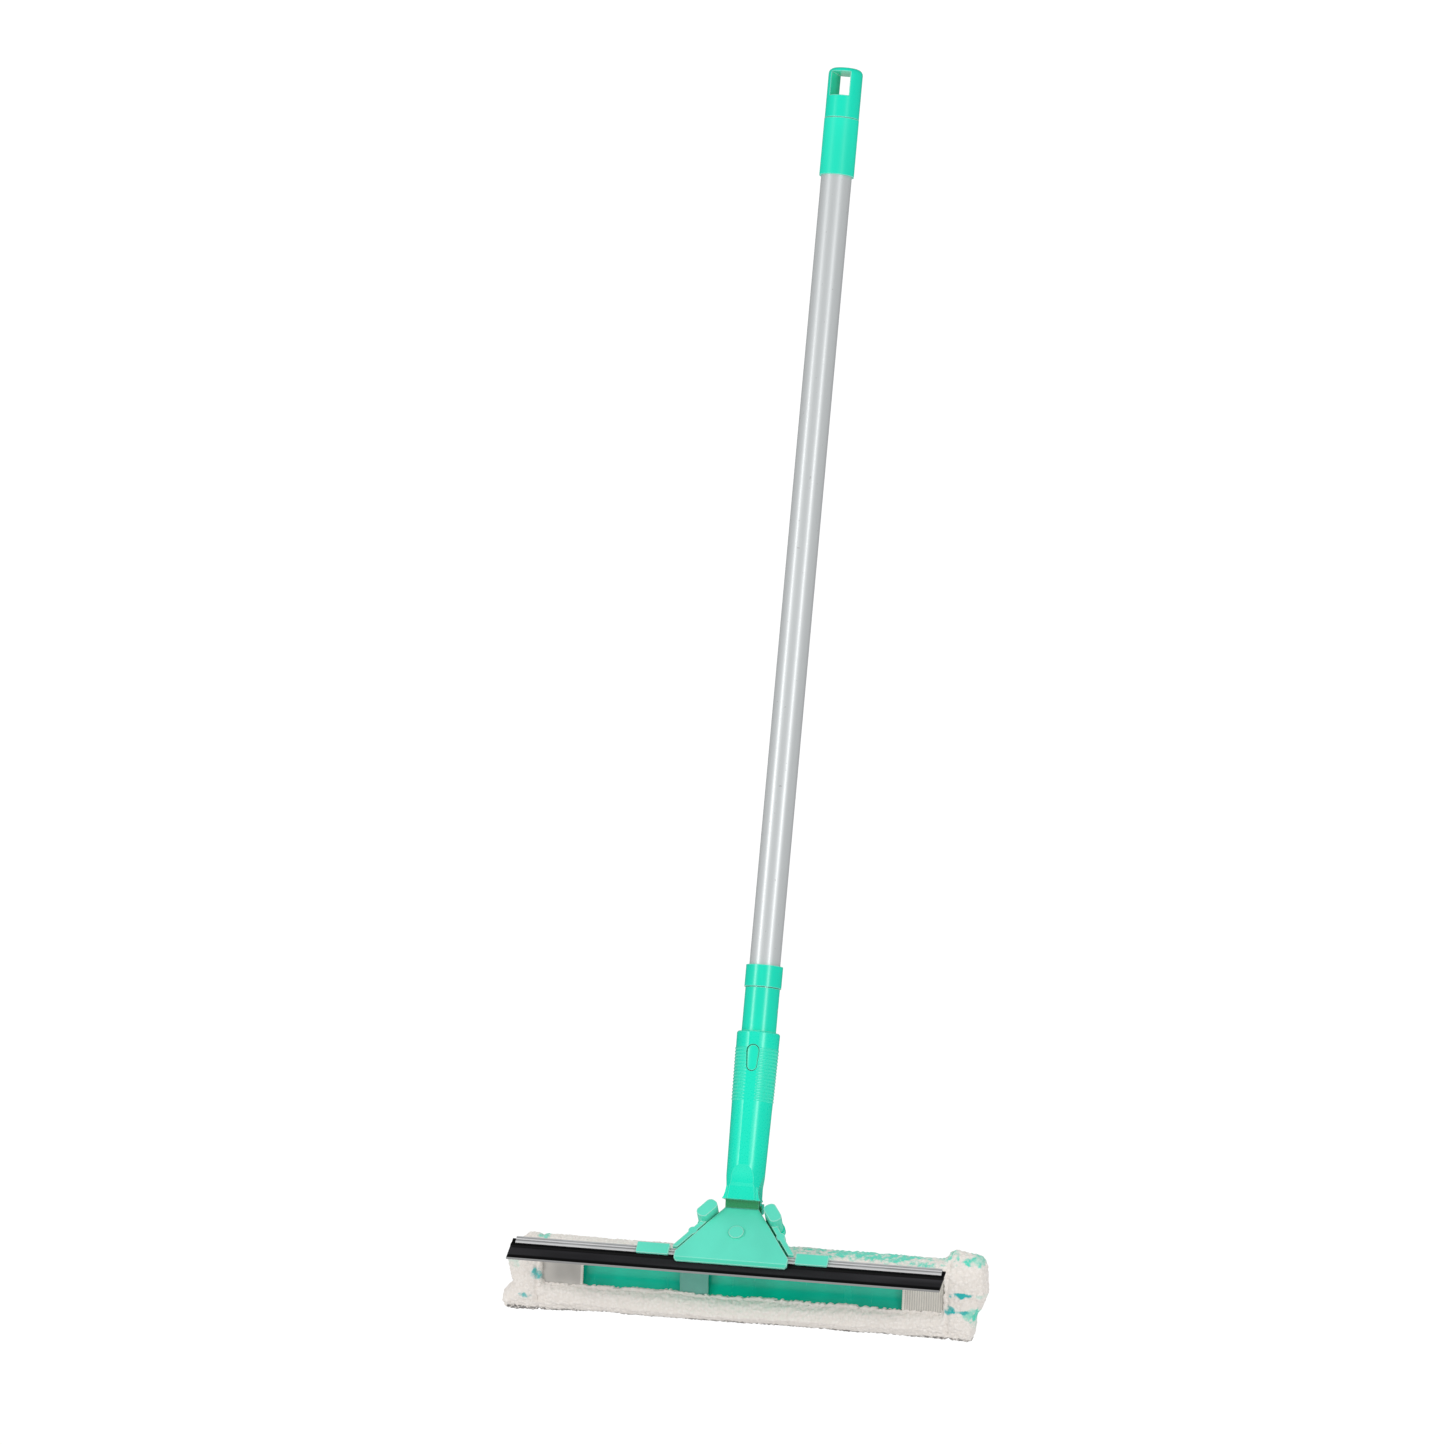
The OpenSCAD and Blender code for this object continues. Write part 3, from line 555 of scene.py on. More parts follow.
class StageLights(bpy.types.PropertyGroup):
    """Light on the stage."""

    strip_power: bpy.props.FloatProperty(
        name="Strip lights",
        description="Power of each of the two upright strip lights",
        default=15,
        min=0,
        unit="POWER",
    )
    room: bpy.props.FloatProperty(
        name="Room light",
        description="Strength of the even light from all round",
        default=0.63,
        min=0,
    )


def settings():
    scene = bpy.context.scene
    return scene.squeegee_colours, scene.squeegee_washer, scene.squeegee_lights


# ---- Pieces --------------------------------------------------------------------------------


class SQUEEGEE_OT_stage(bpy.types.Operator):
    """Pale floor, even room light, two strip lights and the camera"""

    bl_idname = "squeegee.stage"
    bl_label = "Stage"

    def execute(self, context):
        lights = settings()[2]
        scene = context.scene
        scene.view_settings.view_transform = "Standard"
        low, high = CAD_BOX
        centre = (low + high) / 2
        self.floor(low.z - FLOOR_DROP)
        self.room(scene, lights.room)
        for name, azimuth in STRIPS.items():
            self.strip(scene, name, azimuth, centre, lights.strip_power)
        self.camera(scene)
        return {"FINISHED"}

    def floor(self, height):
        """A wide disc: radius times the cosine and sine of the angle."""
        sides = 96
        angle = np.linspace(0, 2 * np.pi, sides, endpoint=False)
        x, y = np.outer(FLOOR_RINGS, np.cos(angle)), np.outer(FLOOR_RINGS, np.sin(angle))
        grid = np.stack([x, y, np.full(x.shape, height)], -1)
        made = add_object("floor", surface("floor", grid, around=True))
        finish = Finish("floor_paint", {"Roughness": 0.9, "Specular_IOR_Level": 0.1})
        cloud = finish.noise(1.5, 2)
        finish.set(Base_Color=finish.mix((0.94,) * 3, (0.97,) * 3, cloud))
        made.data.materials.append(finish.material)

    def room(self, scene, strength):
        """Even white light that is dimmer in reflections and has a brighter backdrop of its own."""
        world = bpy.data.worlds.new("room")
        scene.world = world
        world.use_nodes = True
        nodes, links = world.node_tree.nodes, world.node_tree.links

        def glow(power, made=None):
            made = made or nodes.new("ShaderNodeBackground")
            made.inputs["Color"].default_value = (1, 1, 1, 1)
            made.inputs["Strength"].default_value = power
            return made.outputs[0]

        path = nodes.new("ShaderNodeLightPath")

        def choose(ray, otherwise, chosen):
            made = nodes.new("ShaderNodeMixShader")
            for socket, source in zip(made.inputs, (path.outputs[ray], otherwise, chosen)):
                links.new(source, socket)
            return made.outputs[0]

        lit = glow(strength, nodes["Background"])
        lit = choose("Is Glossy Ray", lit, glow(strength * GLOSSY_SHARE))
        whole = choose("Is Camera Ray", lit, glow(BACKDROP))
        links.new(whole, nodes["World Output"].inputs[0])

    def strip(self, scene, name, azimuth, centre, power):
        """An upright area light that stands round the tool at an azimuth, facing it."""
        light = bpy.data.lights.new("strip_" + name, "AREA")
        light.shape = "RECTANGLE"
        light.size, light.size_y = STRIP_SIZE
        light.energy = power
        made = bpy.data.objects.new("strip_" + name, light)
        a = math.radians(azimuth)
        away = Vector((STRIP_DISTANCE * math.sin(a), -STRIP_DISTANCE * math.cos(a), STRIP_RISE))
        made.location = centre + away
        made.rotation_euler = (centre - made.location).to_track_quat("-Z", "Y").to_euler()
        scene.collection.objects.link(made)

    def camera(self, scene):
        """Long lens, a little to the right and below the tool, rolled so that the pole leans."""
        angles = (CAMERA_AZIMUTH, CAMERA_ELEVATION, CAMERA_ROLL)
        azimuth, elevation, roll = (math.radians(x) for x in angles)
        back = Vector(
            (
                math.sin(azimuth) * math.cos(elevation),
                -math.cos(azimuth) * math.cos(elevation),
                math.sin(elevation),
            )
        )
        right = Vector((0, 0, 1)).cross(back).normalized()
        upward = back.cross(right)
        turn = Matrix((right, upward, back)).transposed() @ Matrix.Rotation(roll, 3, "Z")
        aim = Vector((0, 0, CAMERA_AIM_Z)) - turn.col[0] * CAMERA_ASIDE
        camera = bpy.data.cameras.new("camera")
        camera.sensor_width = 36.0
        camera.lens = camera.sensor_width * CAMERA_DISTANCE / CAMERA_WIDTH
        camera.clip_end = 60.0
        made = bpy.data.objects.new("camera", camera)
        place = Matrix.Translation(aim + back * CAMERA_DISTANCE)
        made.matrix_world = place @ turn.to_4x4()
        scene.collection.objects.link(made)
        scene.camera = made


class SQUEEGEE_OT_pole(bpy.types.Operator):
    """Finishes of the tubes, their fittings and the twist lock"""

    bl_idname = "squeegee.pole"
    bl_label = "Pole"

    def execute(self, context):
        colours = settings()[0]
        mint = moulding("mint_moulding", colours.mint, colours.mint_edge_highlight)
        paint(mint, "mint_plastic", "hang_cap", "tube_collar", "pole_tip", "catch_button")
        grip = moulding(
            "grip_moulding", tone(colours.mint, 1.05), colours.mint_edge_highlight, 0.42, 0.05 * MM
        )
        paint(grip, "mint_plastic", "grip_sleeve")
        paint(self.tube_paint(colours.pole), "pole_paint", "outer_tube")
        steel = plated_steel("plated_steel")
        paint(steel, "plated_steel", "inner_tube", "tip_rivet", "spindle_stop")
        lock = ("collar_bush", "lock_expander", "lock_cone", "lock_spindle")
        paint(self.nylon(), "white_nylon", *lock)
        paint(steel, "spring_steel", "catch_spring")
        return {"FINISHED"}

    def tube_paint(self, colour):
        """Satin enamel on a drawn tube: faint lengthwise drawing lines, specks and orange peel."""
        made = Finish("tube_paint", {"IOR": 1.5, "Coat_Roughness": 0.16})
        lines = made.noise(260, 3, (1, 1, 60))
        clouds = made.noise(18, 2, (1, 1, 4))
        peel = made.noise(700, 2)
        specks = made.ramp(made.noise(420, 1), 0.74, 0.8)
        body = made.mix(tone(colour, 0.95), tone(colour, 1.03), lines)
        body = made.mix(body, tone(colour, 0.9), made.ramp(clouds, 0.55, 0.8) * 0.35)
        body = made.mix(body, (0.28, 0.28, 0.27), specks * 0.5)
        made.set(
            Base_Color=body,
            Roughness=0.3 + 0.12 * lines + 0.1 * clouds,
            Metallic=0.25 - 0.2 * specks,
            Coat_Weight=0.3 + 0.2 * clouds,
            Normal=made.bump(peel + lines, 0.015 * MM, 0.4),
        )
        return made.material

    def nylon(self):
        made = Finish("white_nylon", {"IOR": 1.53})
        flow = made.noise(120, 3)
        made.set(
            Base_Color=made.mix((0.72, 0.7, 0.64), (0.84, 0.82, 0.77), flow),
            Roughness=0.38 + 0.15 * flow,
            Normal=made.bump(made.noise(1500, 2), 0.01 * MM, 0.4),
        )
        return made.material


def plated_steel(name, tint=(0.62, 0.63, 0.64)):
    """Bright plating with fine turning lines and a few dull marks."""
    made = Finish(name, {"IOR": 2.5})
    lines = made.noise(900, 3, (1, 1, 30))
    marks = made.ramp(made.noise(70, 4), 0.52, 0.7)
    made.set(
        Base_Color=made.mix(tone(tint, 1.1), tone(tint, 0.8), marks * 0.5 + lines * 0.3),
        Metallic=1.0 - 0.15 * marks,
        Roughness=0.2 + 0.12 * lines + 0.2 * marks,
        Normal=made.bump(lines, 0.006 * MM, 0.4),
    )
    return made.material


class SQUEEGEE_OT_head(bpy.types.Operator):
    """Finishes of the handle, jaw, levers and rear bracket"""

    bl_idname = "squeegee.head"
    bl_label = "Head"

    def execute(self, context):
        colours = settings()[0]
        jaw_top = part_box("front_jaw")[1].z
        low, high = BLADE.box("front_jaw")

        def recess_shade(made):
            """Painted shade under the neck, from its lower edge to the jaw's top, on the front
            half.
            """
            return made.band(
                made.along((0, 0, 1)), jaw_top - 6 * MM, jaw_top + 3.5 * MM, 0.2 * MM
            ) * made.ramp(made.along((0, 1, 0)), 5 * MM, 3 * MM)

        def jaw_shade(made):
            """Painted shade on the foot's bevel, which faces down, and along the slanted sides,
            which draw in by slope for each metre of height; and a slow, patchy deepening towards
            the jaw's top."""
            slope = 0.69
            height = made.along(BLADE.up)
            foot = made.ramp(height, low[2] + 2.6 * MM, low[2] + 1.8 * MM)
            side = made.node("Math", {"operation": "ABSOLUTE"}, {0: made.along(ACROSS)})
            slant = side - (high[2] - height) * slope
            rise = made.ramp(height, low[2] + 22 * MM, high[2] + 4 * MM)
            return (
                foot * 0.42
                + made.ramp(slant, 4 * MM, 11 * MM) * rise * 0.25
                + rise * made.noise(60, 2) * 0.4
            )

        handle = moulding(
            "handle_moulding",
            colours.mint,
            colours.mint_edge_highlight,
            0.28,
            round_edge=0.45 * MM,
            edge_highlight=0.5,
            shade=(colours.recess_shade, recess_shade),
        )
        paint(handle, "mint_plastic", "head_body", "rear_bracket")
        pale_look = (colours.pale_mint, colours.pale_edge_highlight, 0.34)
        pale = moulding("pale_moulding", *pale_look)
        small = ("jaw_pin", "left_lever", "right_lever", "clip_left", "clip_right")
        paint(pale, "pale_mint_plastic", *small)
        jaw = moulding("jaw_moulding", *pale_look, shade=(colours.jaw_shade_tone, jaw_shade))
        paint(jaw, "pale_mint_plastic", "front_jaw")
        steel = plated_steel("pin_steel", (0.5, 0.51, 0.53))
        paint(steel, "plated_steel", "jaw_retainer", "lever_pins", "bracket_screws")
        paint(steel, "spring_steel", "left_lever_spring", "right_lever_spring")
        return {"FINISHED"}


class SQUEEGEE_OT_blade(bpy.types.Operator):
    """Finishes of the channel and its rubber"""

    bl_idname = "squeegee.blade"
    bl_label = "Blade"

    def execute(self, context):
        colours = settings()[0]
        paint(self.extrusion(), "channel_alloy", "blade_channel")
        rubber = self.rubber(colours.rubber, colours.rubber_sheen)
        paint(rubber, "blade_rubber", "rubber_blade")
        return {"FINISHED"}

    def extrusion(self):
        """Bare aluminium, drawn along X: long die lines, light handling marks, and bands of painted
        shade and painted highlight down the profile.
        """
        made = Finish("channel_alloy", {"IOR": 1.4})
        lines = made.noise(1400, 3, (120, 1, 1))
        marks = made.ramp(made.noise(90, 4, (3, 1, 1)), 0.5, 0.72)
        top = BLADE.box("blade_channel")[1][2]
        down = top - made.along(BLADE.up)
        # Painted shade: dark bands where the channel's grooves lie
        groove_shade = made.band(down, 1.15 * MM, 1.45 * MM, 0.25 * MM) + made.band(
            down, 2.9 * MM, 3.7 * MM, 0.3 * MM
        )
        # Painted highlight: light bands between the grooves and along the bottom edge
        highlight_bands = made.band(down, 1.9 * MM, 2.5 * MM, 0.25 * MM) + made.ramp(
            down, 4.2 * MM, 4.8 * MM
        )
        body = made.mix((0.62, 0.63, 0.64), (0.93, 0.93, 0.94), lines * 0.4 + highlight_bands)
        body = made.mix(body, (0.2, 0.2, 0.2), groove_shade * 0.65)
        made.set(
            Base_Color=made.mix(body, (0.45, 0.46, 0.46), marks * 0.4),
            Metallic=0.4 - 0.2 * marks,
            Roughness=0.28 + 0.2 * lines + 0.12 * marks,
            Normal=made.bump(lines, 0.006 * MM, 0.3),
        )
        return made.material

    def rubber(self, dark, light):
        """Moulded rubber: a lighter band of painted reflection along the lip's middle, patchy by
        noise, long faint streaks, fine grain.
        """
        made = Finish("blade_rubber", {"IOR": 1.3})
        low, high = BLADE.box("rubber_blade")
        height = made.along(BLADE.up)
        span = high[2] - low[2]
        dust_and_sheen = made.noise(60, 4, (9, 1, 1))
        grain = made.noise(1600, 2)
        # Painted reflection: a lighter band along the middle of the lip
        middle = made.band(height, low[2] + 0.22 * span, low[2] + 0.5 * span, 1.3 * MM)
        # Painted highlight: a thin lighter line along the lip's bottom edge
        lip = made.band(height, low[2], low[2] + 0.5 * MM, 0.4 * MM)
        body = made.mix(dark, light, middle * (0.35 + 0.55 * made.ramp(dust_and_sheen, 0.35, 0.7)))
        body = made.mix(body, (0.42, 0.42, 0.42), lip * 0.75)
        made.set(
            Base_Color=body,
            Roughness=0.42 + 0.2 * dust_and_sheen + 0.1 * grain,
            Normal=made.bump(grain + dust_and_sheen, 0.03 * MM, 0.5),
        )
        return made.material


class SQUEEGEE_OT_washer_bar(bpy.types.Operator):
    """Finish of the T-bar"""

    bl_idname = "squeegee.washer_bar"
    bl_label = "T-bar"

    def execute(self, context):
        colours = settings()[0]
        teal = moulding(
            "teal_moulding", colours.teal, colours.teal_edge_highlight, 0.24, drift=0.16
        )
        paint(teal, "deep_green_plastic", "t_bar")
        return {"FINISHED"}


def swollen(mesh, voxel, cap):
    """Voxel remesh of a closed form, swelled by cloth pressure without gravity, and held to a cap:
    each point's move is scaled so that it is no longer than the cap."""
    work = add_object("swelling", mesh)
    remesh = work.modifiers.new("remesh", "REMESH")
    remesh.mode, remesh.voxel_size = "VOXEL", voxel
    even = evaluated(work)
    bpy.data.objects.remove(work)
    work = add_object("swelling", even)
    cloth = work.modifiers.new("cloth", "CLOTH")
    cloth.settings.quality = 5
    cloth.settings.mass = 0.3
    cloth.settings.use_pressure = True
    cloth.settings.uniform_pressure_force = 4.0
    cloth.settings.effector_weights.gravity = 0.0
    cloth.settings.tension_stiffness = 12
    cloth.settings.compression_stiffness = 12
    cloth.point_cache.frame_end = SWELL_FRAMES
    start = read_points(even)
    for step in range(1, SWELL_FRAMES + 1):
        bpy.context.scene.frame_set(step)
    blown = evaluated(work)
    move = read_points(blown) - start
    length = np.linalg.norm(move, axis=1, keepdims=True)
    write_points(blown, start + move * np.minimum(1, cap / np.maximum(length, 1e-9)))
    bpy.data.objects.remove(work)
    bpy.context.scene.frame_set(1)
    return blown


def subdivided(mesh, levels):
    work = add_object("subdividing", mesh)
    smooth = work.modifiers.new("subdivision", "SUBSURF")
    smooth.levels = smooth.render_levels = levels
    made = evaluated(work)
    bpy.data.objects.remove(work)
    return made


def fleece_finish(colours):
    """Terry pile: lighter tufts over painted shade in the depths between them, with patches and
    streaks of coloured yarn.
    """
    made = Finish(
        "fleece_pile",
        {"Sheen_Weight": 0.35, "Sheen_Roughness": 0.5, "Specular_IOR_Level": 0.12},
    )
    low, high = WASHER.box("washer_pad")
    across = made.along(ACROSS)
    height = made.along(WASHER.up)
    depth = made.along(WASHER.back)
    top = high[2] - FLEECE_SHOULDER
    drift = made.noise(55, 3)
    fuzz = made.noise(420, 3)
    cells = made.node("TexVoronoi", None, {"Vector": made.where, "Scale": 380.0})
    tip = made.ramp(cells, 0.75, 0.1)
    # Painted shade: the fleece goes to its depth colour between the cells' tips
    body = made.mix(colours.fleece_shade, colours.fleece, 0.5 + 0.6 * tip)
    body = made.mix(body, tone(colours.fleece, 0.92), made.ramp(drift, 0.5, 0.8) * 0.3)
    wave = height + 0.006 * (drift - 0.5)
    front = made.ramp(depth, low[1] + 16 * MM, low[1] + 10 * MM)

    ragged = (drift - 0.5) * 2.4 + (made.noise(230, 3) - 0.5) * 5.0

    def patches(rows):
        """Sum of ragged ovals of yarn: each falls off with the squared distance from its middle,
        measured in its reaches."""
        total = 0.0
        for x, z, x_reach, z_reach, strength in rows:
            sideways = (across - x * MM) * (1 / (x_reach * MM))
            upwards = (height - (top + z * MM)) * (1 / (z_reach * MM))
            oval = made.ramp(sideways**2 + upwards**2 + ragged, 1.7, -0.1)
            total = total + oval * strength
        return total

    stitch = patches(STITCHES) + patches(FRONT_STITCHES) * front
    body = made.mix(body, colours.streak, made.ramp(patches(TINTS), 0.0, 1.1))
    body = made.mix(body, colours.stitch, made.ramp(stitch, 0.0, 1.0))
    # Painted shadow: a ragged near-black line along the fleece's lowest edge
    under = made.ramp(wave, low[2] + 3.6 * MM, low[2] + 2.0 * MM)
    body = made.mix(body, (0.09, 0.08, 0.075), under * made.ramp(fuzz, 0.38, 0.55) * 0.9)
    made.set(
        Base_Color=body,
        Roughness=0.95 - 0.1 * tip,
        Normal=made.bump(fuzz * 0.6 + tip, 0.5 * MM, 0.7),
    )
    return made.material


class SQUEEGEE_OT_washer_pad(bpy.types.Operator):
    """Fleece sleeve, swelled as cloth and raised into tufts"""

    bl_idname = "squeegee.washer_pad"
    bl_label = "Fleece"

    def execute(self, context):
        colours, sizes, _ = settings()
        mesh = merged_copy("washer_pad")
        local = WASHER.read(read_points(mesh))
        bar_front = WASHER.box("t_bar")[0][1]
        local[:, 1] -= np.where(local[:, 1] < bar_front - 1 * MM, sizes.roll_proud, 0)
        write_points(mesh, WASHER.place(local))
        mesh = subdivided(swollen(mesh, FLEECE_VOXEL, FLEECE_SWELL), 2)
        local = WASHER.read(read_points(mesh))
        outward = WASHER.read(read_vectors(mesh.vertex_normals, "vector"))
        local = self.shaped(local)
        relief = self.relief(local, sizes)
        local = self.clear(local + outward * relief[:, None])
        write_points(mesh, WASHER.place(local))
        made = add_object("washer_fleece", mesh)
        dress(made, fleece_finish(colours), "washer", "fleece", "washer_pad")
        return {"FINISHED"}

    def shaped(self, local):
        """Draws the ends in by a set of depths down each end, grown with the distance past the
        T-bar, lowers the top of the sleeve on the left in a smooth step and slopes the hood. The
        outlines are in millimetres."""
        high = WASHER.box("washer_pad")[1]
        bar_end = WASHER.box("t_bar")[1][0]
        past = np.clip((np.abs(local[:, 0]) - bar_end) / (high[0] - bar_end), 0, 1)
        down = (high[2] - FLEECE_SHOULDER - local[:, 2]) / MM
        left, right = np.interp(down, *LEFT_END), np.interp(down, *RIGHT_END)
        local[:, 0] -= np.where(local[:, 0] > 0, right, -left) * past * MM
        step_start, step_length, step_drop, step_fade = -8, 34, 6, 13
        step = np.clip((local[:, 0] / MM - step_start) / step_length, -1, 0)
        lowered = step_drop * (1 - np.cos(np.pi * step)) / 2
        local[:, 2] -= lowered * MM * np.clip(1 - down / step_fade, 0, 1)
        hood_start, hood_length, hood_foot, hood_fade = 146, 28, 11, 19
        along = np.clip((local[:, 0] / MM - hood_start) / hood_length, 0, 1)
        slope = np.clip(2 * along, 0, 1) * 2.8 + along**2 * 5
        local[:, 2] -= slope * MM * np.clip((hood_foot - down) / hood_fade, 0, 1)
        return local

    def relief(self, local, sizes):
        """Slow waves, lumps and tufts, each a noise of its own cell, cut by the end seams."""
        bar_end = WASHER.box("t_bar")[1][0]
        waves = soft_noise(local, 26 * MM, 3) + 0.6 * soft_noise(local, 11 * MM, 5)
        pile = tufts(local + soft_noise(local, 6 * MM, 9)[:, None] * MM, sizes.tuft_cell, 11)
        fine = soft_noise(local, 1.7 * MM, 17)
        seam = np.exp(-(((np.abs(local[:, 0]) - bar_end - 3 * MM) / (1.6 * MM)) ** 2))
        return (
            waves * sizes.lump * 0.6
            + (pile**1.4 - 0.35) * sizes.tuft
            + fine * 0.3 * MM
            - seam * 1.4 * MM
        )

    def clear(self, local):
        """Pushes points that the T-bar or its lug would hold out through the nearest face."""
        bar = WASHER.read(read_points(frame["nodes"]["t_bar"].data))
        lug = bar[np.abs(bar[:, 0]) < 25 * MM]
        bar = bar[np.abs(bar[:, 0]) > 30 * MM]
        lug = lug[lug[:, 2] > bar[:, 2].max() + 0.5 * MM]
        front = WASHER.box("pocket_left")[0][1]
        for form in (bar, lug):
            if not len(form):
                continue
            low, high = form.min(0) - CLOTH_GAP, form.max(0) + CLOTH_GAP
            low[1] = min(low[1], front)
            if form is lug:
                low[2] = bar[:, 2].max()
            gaps = np.stack([local - low, high - local], -1)
            inside = (gaps > 0).all((1, 2))
            side = gaps.reshape(len(local), 6).argmin(1)
            for k in range(6):
                chosen = inside & (side == k)
                axis, upper = divmod(k, 2)
                local[chosen, axis] = high[axis] if upper else low[axis]
        return local


def cloth_piece(name, across, back, up, material, slot, node):
    """A thin piece over the T-bar that stands for a CAD node, from a grid of its points' distances
    across, back and up."""
    points = np.stack([across, back, up], -1)
    grid = WASHER.place(points.reshape(-1, 3)).reshape(points.shape)
    made = add_object(name, surface(name, grid))
    wall = made.modifiers.new("thickness", "SOLIDIFY")
    wall.thickness, wall.offset = CLOTH_THICKNESS, -1
    return dress(made, material, "washer", slot, node)


class SQUEEGEE_OT_end_pockets(bpy.types.Operator):
    """Knitted pockets over the T-bar's ends, with their hems"""

    bl_idname = "squeegee.end_pockets"
    bl_label = "End pockets"

    def execute(self, context):
        colours, sizes, _ = settings()
        hem_yarn = self.knit_finish("hem_yarn", tone(colours.rib, 1.1), 0.9 * MM, 0.9 * MM)
        plain = self.knit_finish("plain_knit", colours.knit, 0.9 * MM, 0.7 * MM)
        ribbed = self.knit_finish("rib_knit", colours.rib, 0.8 * MM, sizes.rib_pitch, 0.5)
        self.pocket("left", -1, plain, "knit", 0.0, hem_yarn)
        self.pocket("right", 1, ribbed, "ribbed_knit", sizes.rib_pitch, hem_yarn)
        return {"FINISHED"}

    def pocket(self, side, sign, cloth, slot, rib, hem_yarn):
        """A stretched sheet: it falls back in a shallow dish towards its middle, with slanting
        tension folds and, where ribbed, a row of raised half sines across it. Sizes in mm."""
        node = "pocket_" + side
        low, high = WASHER.box(node)
        width, height = high[0] - low[0], high[2] - low[2]
        u, v = np.meshgrid(np.linspace(0, 1, 190), np.linspace(0, 1, 48))
        x, z = low[0] + u * width, low[2] + v * height
        dish = 1 - (2 * u - 1) ** 2
        folds = np.sin((u * 1.3 + v * 0.8) * 9) * 0.12 + np.sin((u * 2.1 - v) * 7) * 0.08
        back = low[1] + (0.45 + 0.35 * dish + folds * dish) * MM
        if rib:
            back = back - 0.42 * MM * np.abs(np.sin(np.pi * (x - low[0]) / rib)) ** 0.7
            back = back + 0.15 * MM
        made = cloth_piece(node + "_knit", x, back, z, cloth, slot, node)
        hem = self.hem(side, low[0] if sign > 0 else high[0], low, high)
        dress(hem, hem_yarn, "washer", slot)

    def hem(self, side, x, low, high):
        """A turned edge with overlock stitches: a flat oval carried up the pocket's inner edge, its
        width pulsing once a stitch."""
        turns, rows = 16, 300
        v = np.linspace(0, 1, rows)[:, None]
        a = np.linspace(0, 2 * np.pi, turns, endpoint=False)[None, :]
        z = low[2] + v * (high[2] - low[2])
        pulse = 1 + 0.22 * np.sin(2 * np.pi * z / STITCH_PITCH)
        grid = np.stack(
            [
                x + 1.0 * MM * pulse * np.cos(a) + 0 * z,
                low[1] + 0.5 * MM + 0.55 * MM * pulse * np.sin(a),
                z + 0.25 * MM * np.cos(a),
            ],
            -1,
        )
        grid = WASHER.place(grid.reshape(-1, 3)).reshape(rows, turns, 3)
        return add_object(
            "pocket_%s_hem" % side, surface("hem", grid, around=True, ends=True)
        )

    def knit_finish(self, name, colour, course, wale, depth=0.82):
        """Knit: rows of loops, as the product of two sines across and up the cloth, with painted
        shade between them; depth is how dark that painted shade is between the columns."""
        made = Finish(name, {"Sheen_Weight": 0.25, "Specular_IOR_Level": 0.15})
        across = made.along(ACROSS)
        height = made.along(WASHER.up)
        sway = made.noise(240, 2)
        columns = self.wave(made, (across - wale * 0.5) * (1 / wale) + sway * 0.12)
        rows = self.wave(made, height * (1 / course) + sway * 0.6)
        loops = columns * (0.55 + 0.45 * rows)
        drift = made.noise(45, 3)
        fuzz = made.noise(1300, 2)
        body = made.mix(tone(colour, depth), tone(colour, 1.06), loops * 0.85 + fuzz * 0.3)
        body = made.mix(body, tone(colour, 0.8), made.ramp(drift, 0.45, 0.75) * 0.35)
        # Painted shade: the middle of the pocket, where it dishes back, is darkened
        low, high = WASHER.box("pocket_left")
        sunk_shade = made.band(across, low[0] + 13 * MM, high[0] - 7 * MM, 9 * MM) * made.band(
            height, low[2] + 8 * MM, high[2] - 10 * MM, 7 * MM
        )
        body = made.mix(body, tone(colour, 0.66), sunk_shade * 0.7)
        made.set(
            Base_Color=body,
            Roughness=0.9 - 0.08 * loops,
            Normal=made.bump(loops + fuzz * 0.3, 0.2 * MM, 0.8),
        )
        return made.material

    def wave(self, made, turns):
        """From 0 to 1 and back, once a turn."""
        swing = made.node("Math", {"operation": "SINE"}, {0: turns * (2 * math.pi)})
        return swing * 0.5 + 0.5


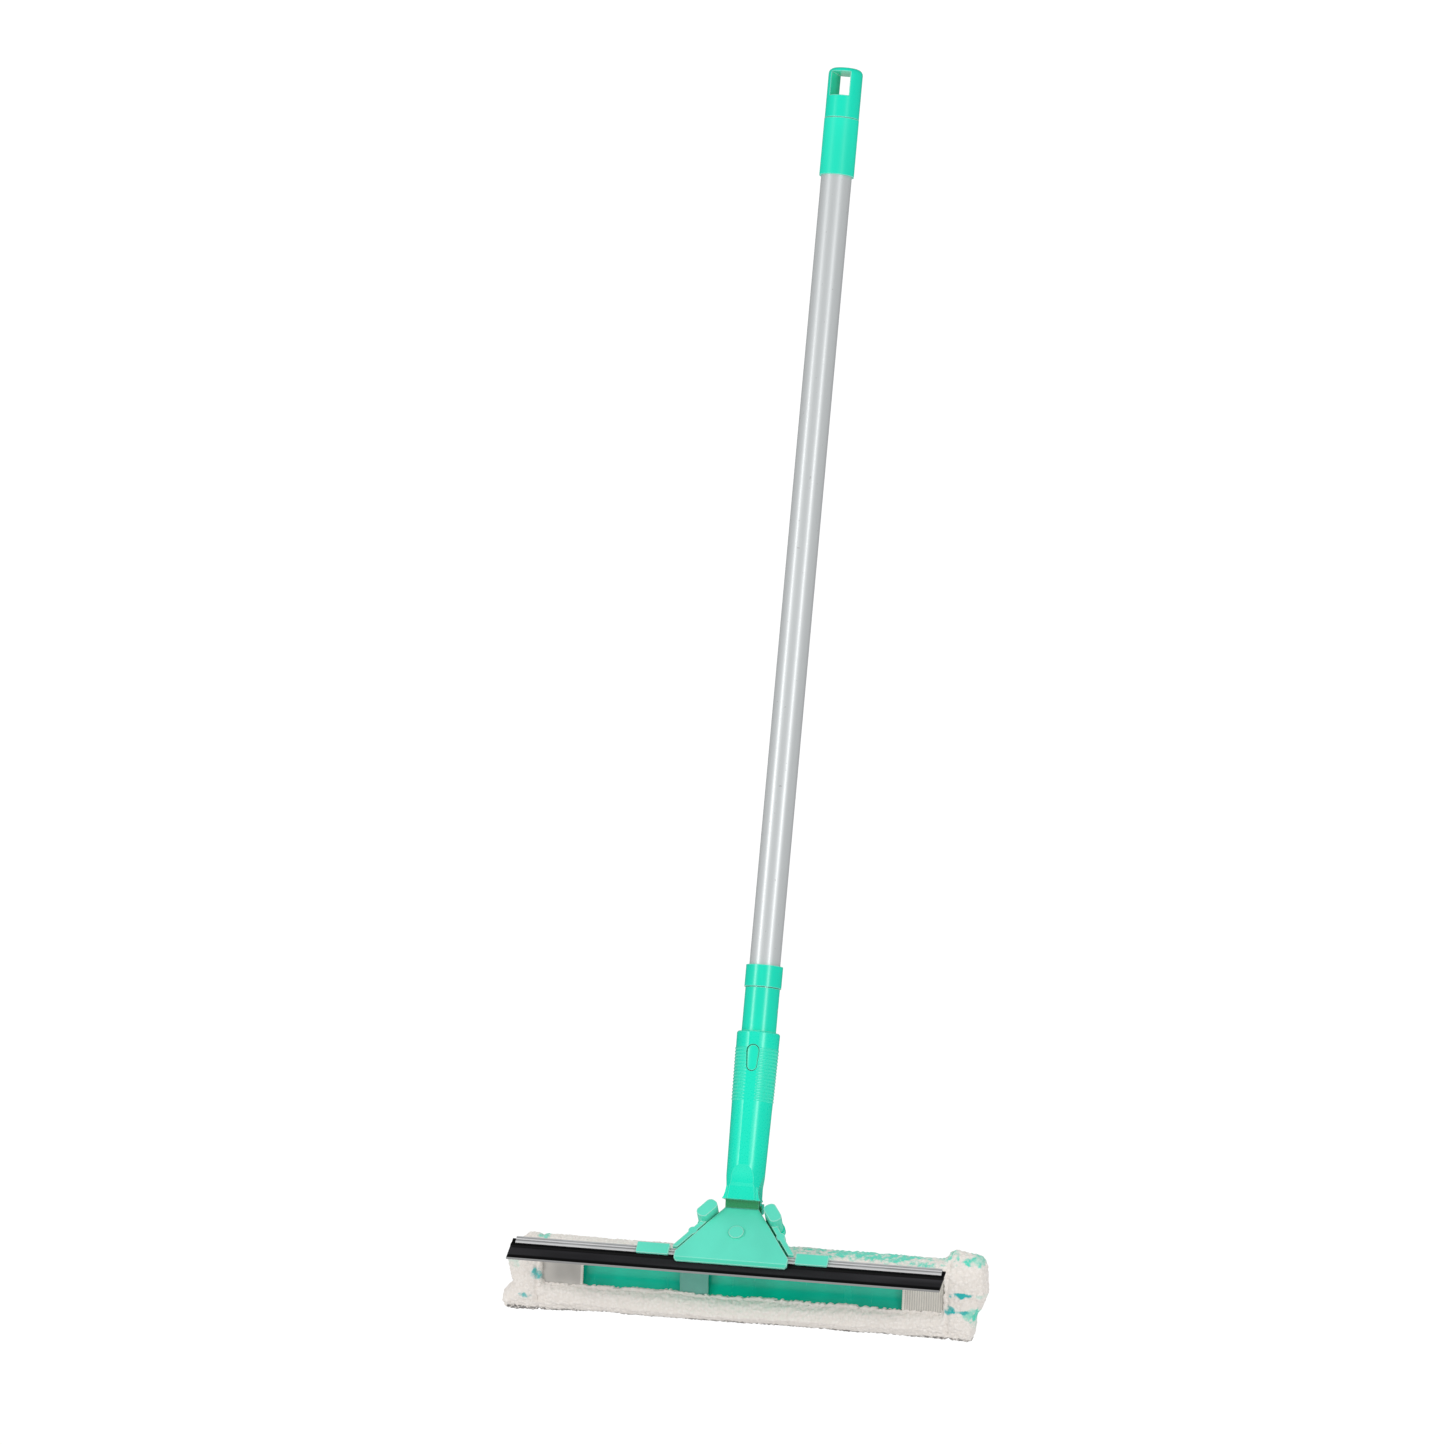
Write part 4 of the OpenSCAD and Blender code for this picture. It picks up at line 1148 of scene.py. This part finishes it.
class SQUEEGEE_OT_strap(bpy.types.Operator):
    """Strap over the T-bar"""

    bl_idname = "squeegee.strap"
    bl_label = "Strap"

    def execute(self, context):
        colours = settings()[0]
        low, high = WASHER.box("sleeve_strap")
        u, v = np.meshgrid(np.linspace(0, 1, 60), np.linspace(0, 1, 70))
        selvedge = np.exp(-((np.minimum(u, 1 - u) / 0.035) ** 2))
        x = low[0] + u * (high[0] - low[0]) + 0.15 * MM * np.sin(v * 11)
        z = low[2] + v * (high[2] - low[2])
        back = low[1] + (0.3 - 0.16 * selvedge + 0.1 * np.sin(u * 5 + v * 7)) * MM
        tape = self.webbing(colours.strap)
        made = cloth_piece(
            "strap_webbing", x, back, z, tape, "strap_webbing", "sleeve_strap"
        )
        float(high[0] - low[0])
        float(high[2] - low[2])
        return {"FINISHED"}

    def webbing(self, colour):
        """Fine flat tape: crossed ribs a few tenths of a millimetre apart."""
        made = Finish("strap_tape", {"Sheen_Weight": 0.15, "IOR": 1.45})
        ribs = made.node(
            "TexWave",
            {"wave_type": "BANDS", "bands_direction": "Z"},
            {"Vector": made.where, "Scale": 420.0, "Distortion": 1.5, "Detail": 1.0},
            "Fac",
        )
        threads = made.noise(1500, 2, (1, 1, 4))
        drift = made.noise(60, 3)
        body = made.mix(tone(colour, 0.86), tone(colour, 1.08), ribs * 0.6 + threads * 0.4)
        made.set(
            Base_Color=made.mix(body, tone(colour, 1.2), made.ramp(drift, 0.4, 0.75) * 0.5),
            Roughness=0.5 + 0.2 * threads,
            Normal=made.bump(ribs + threads * 0.5, 0.06 * MM, 0.7),
        )
        return made.material


# ---- Add-on --------------------------------------------------------------------------------


STEPS = (
    SQUEEGEE_OT_stage,
    SQUEEGEE_OT_pole,
    SQUEEGEE_OT_head,
    SQUEEGEE_OT_blade,
    SQUEEGEE_OT_washer_bar,
    SQUEEGEE_OT_washer_pad,
    SQUEEGEE_OT_end_pockets,
    SQUEEGEE_OT_strap,
)


class SQUEEGEE_PT_panel(bpy.types.Panel):
    """Lists the pieces and their settings"""

    bl_label = "Squeegee"
    bl_idname = "SQUEEGEE_PT_panel"
    bl_space_type = "VIEW_3D"
    bl_region_type = "UI"
    bl_category = "Squeegee"

    def draw(self, context):
        for group in settings():
            box = self.layout.box()
            for name in group.__annotations__:
                box.prop(group, name)
        for step in STEPS:
            self.layout.operator(step.bl_idname)


GROUPS = {
    "squeegee_colours": SqueegeeColours,
    "squeegee_washer": WasherSizes,
    "squeegee_lights": StageLights,
}


def register():
    for kind in (*GROUPS.values(), *STEPS, SQUEEGEE_PT_panel):
        bpy.utils.register_class(kind)
    for name, kind in GROUPS.items():
        setattr(bpy.types.Scene, name, bpy.props.PointerProperty(type=kind))


def unregister():
    for name in GROUPS:
        delattr(bpy.types.Scene, name)
    for kind in (SQUEEGEE_PT_panel, *reversed(STEPS), *reversed(GROUPS.values())):
        bpy.utils.unregister_class(kind)


def main():
    register()
    for step in STEPS:
        family, name = step.bl_idname.split(".")
        getattr(getattr(bpy.ops, family), name)()


if __name__ == "__main__":
    main()
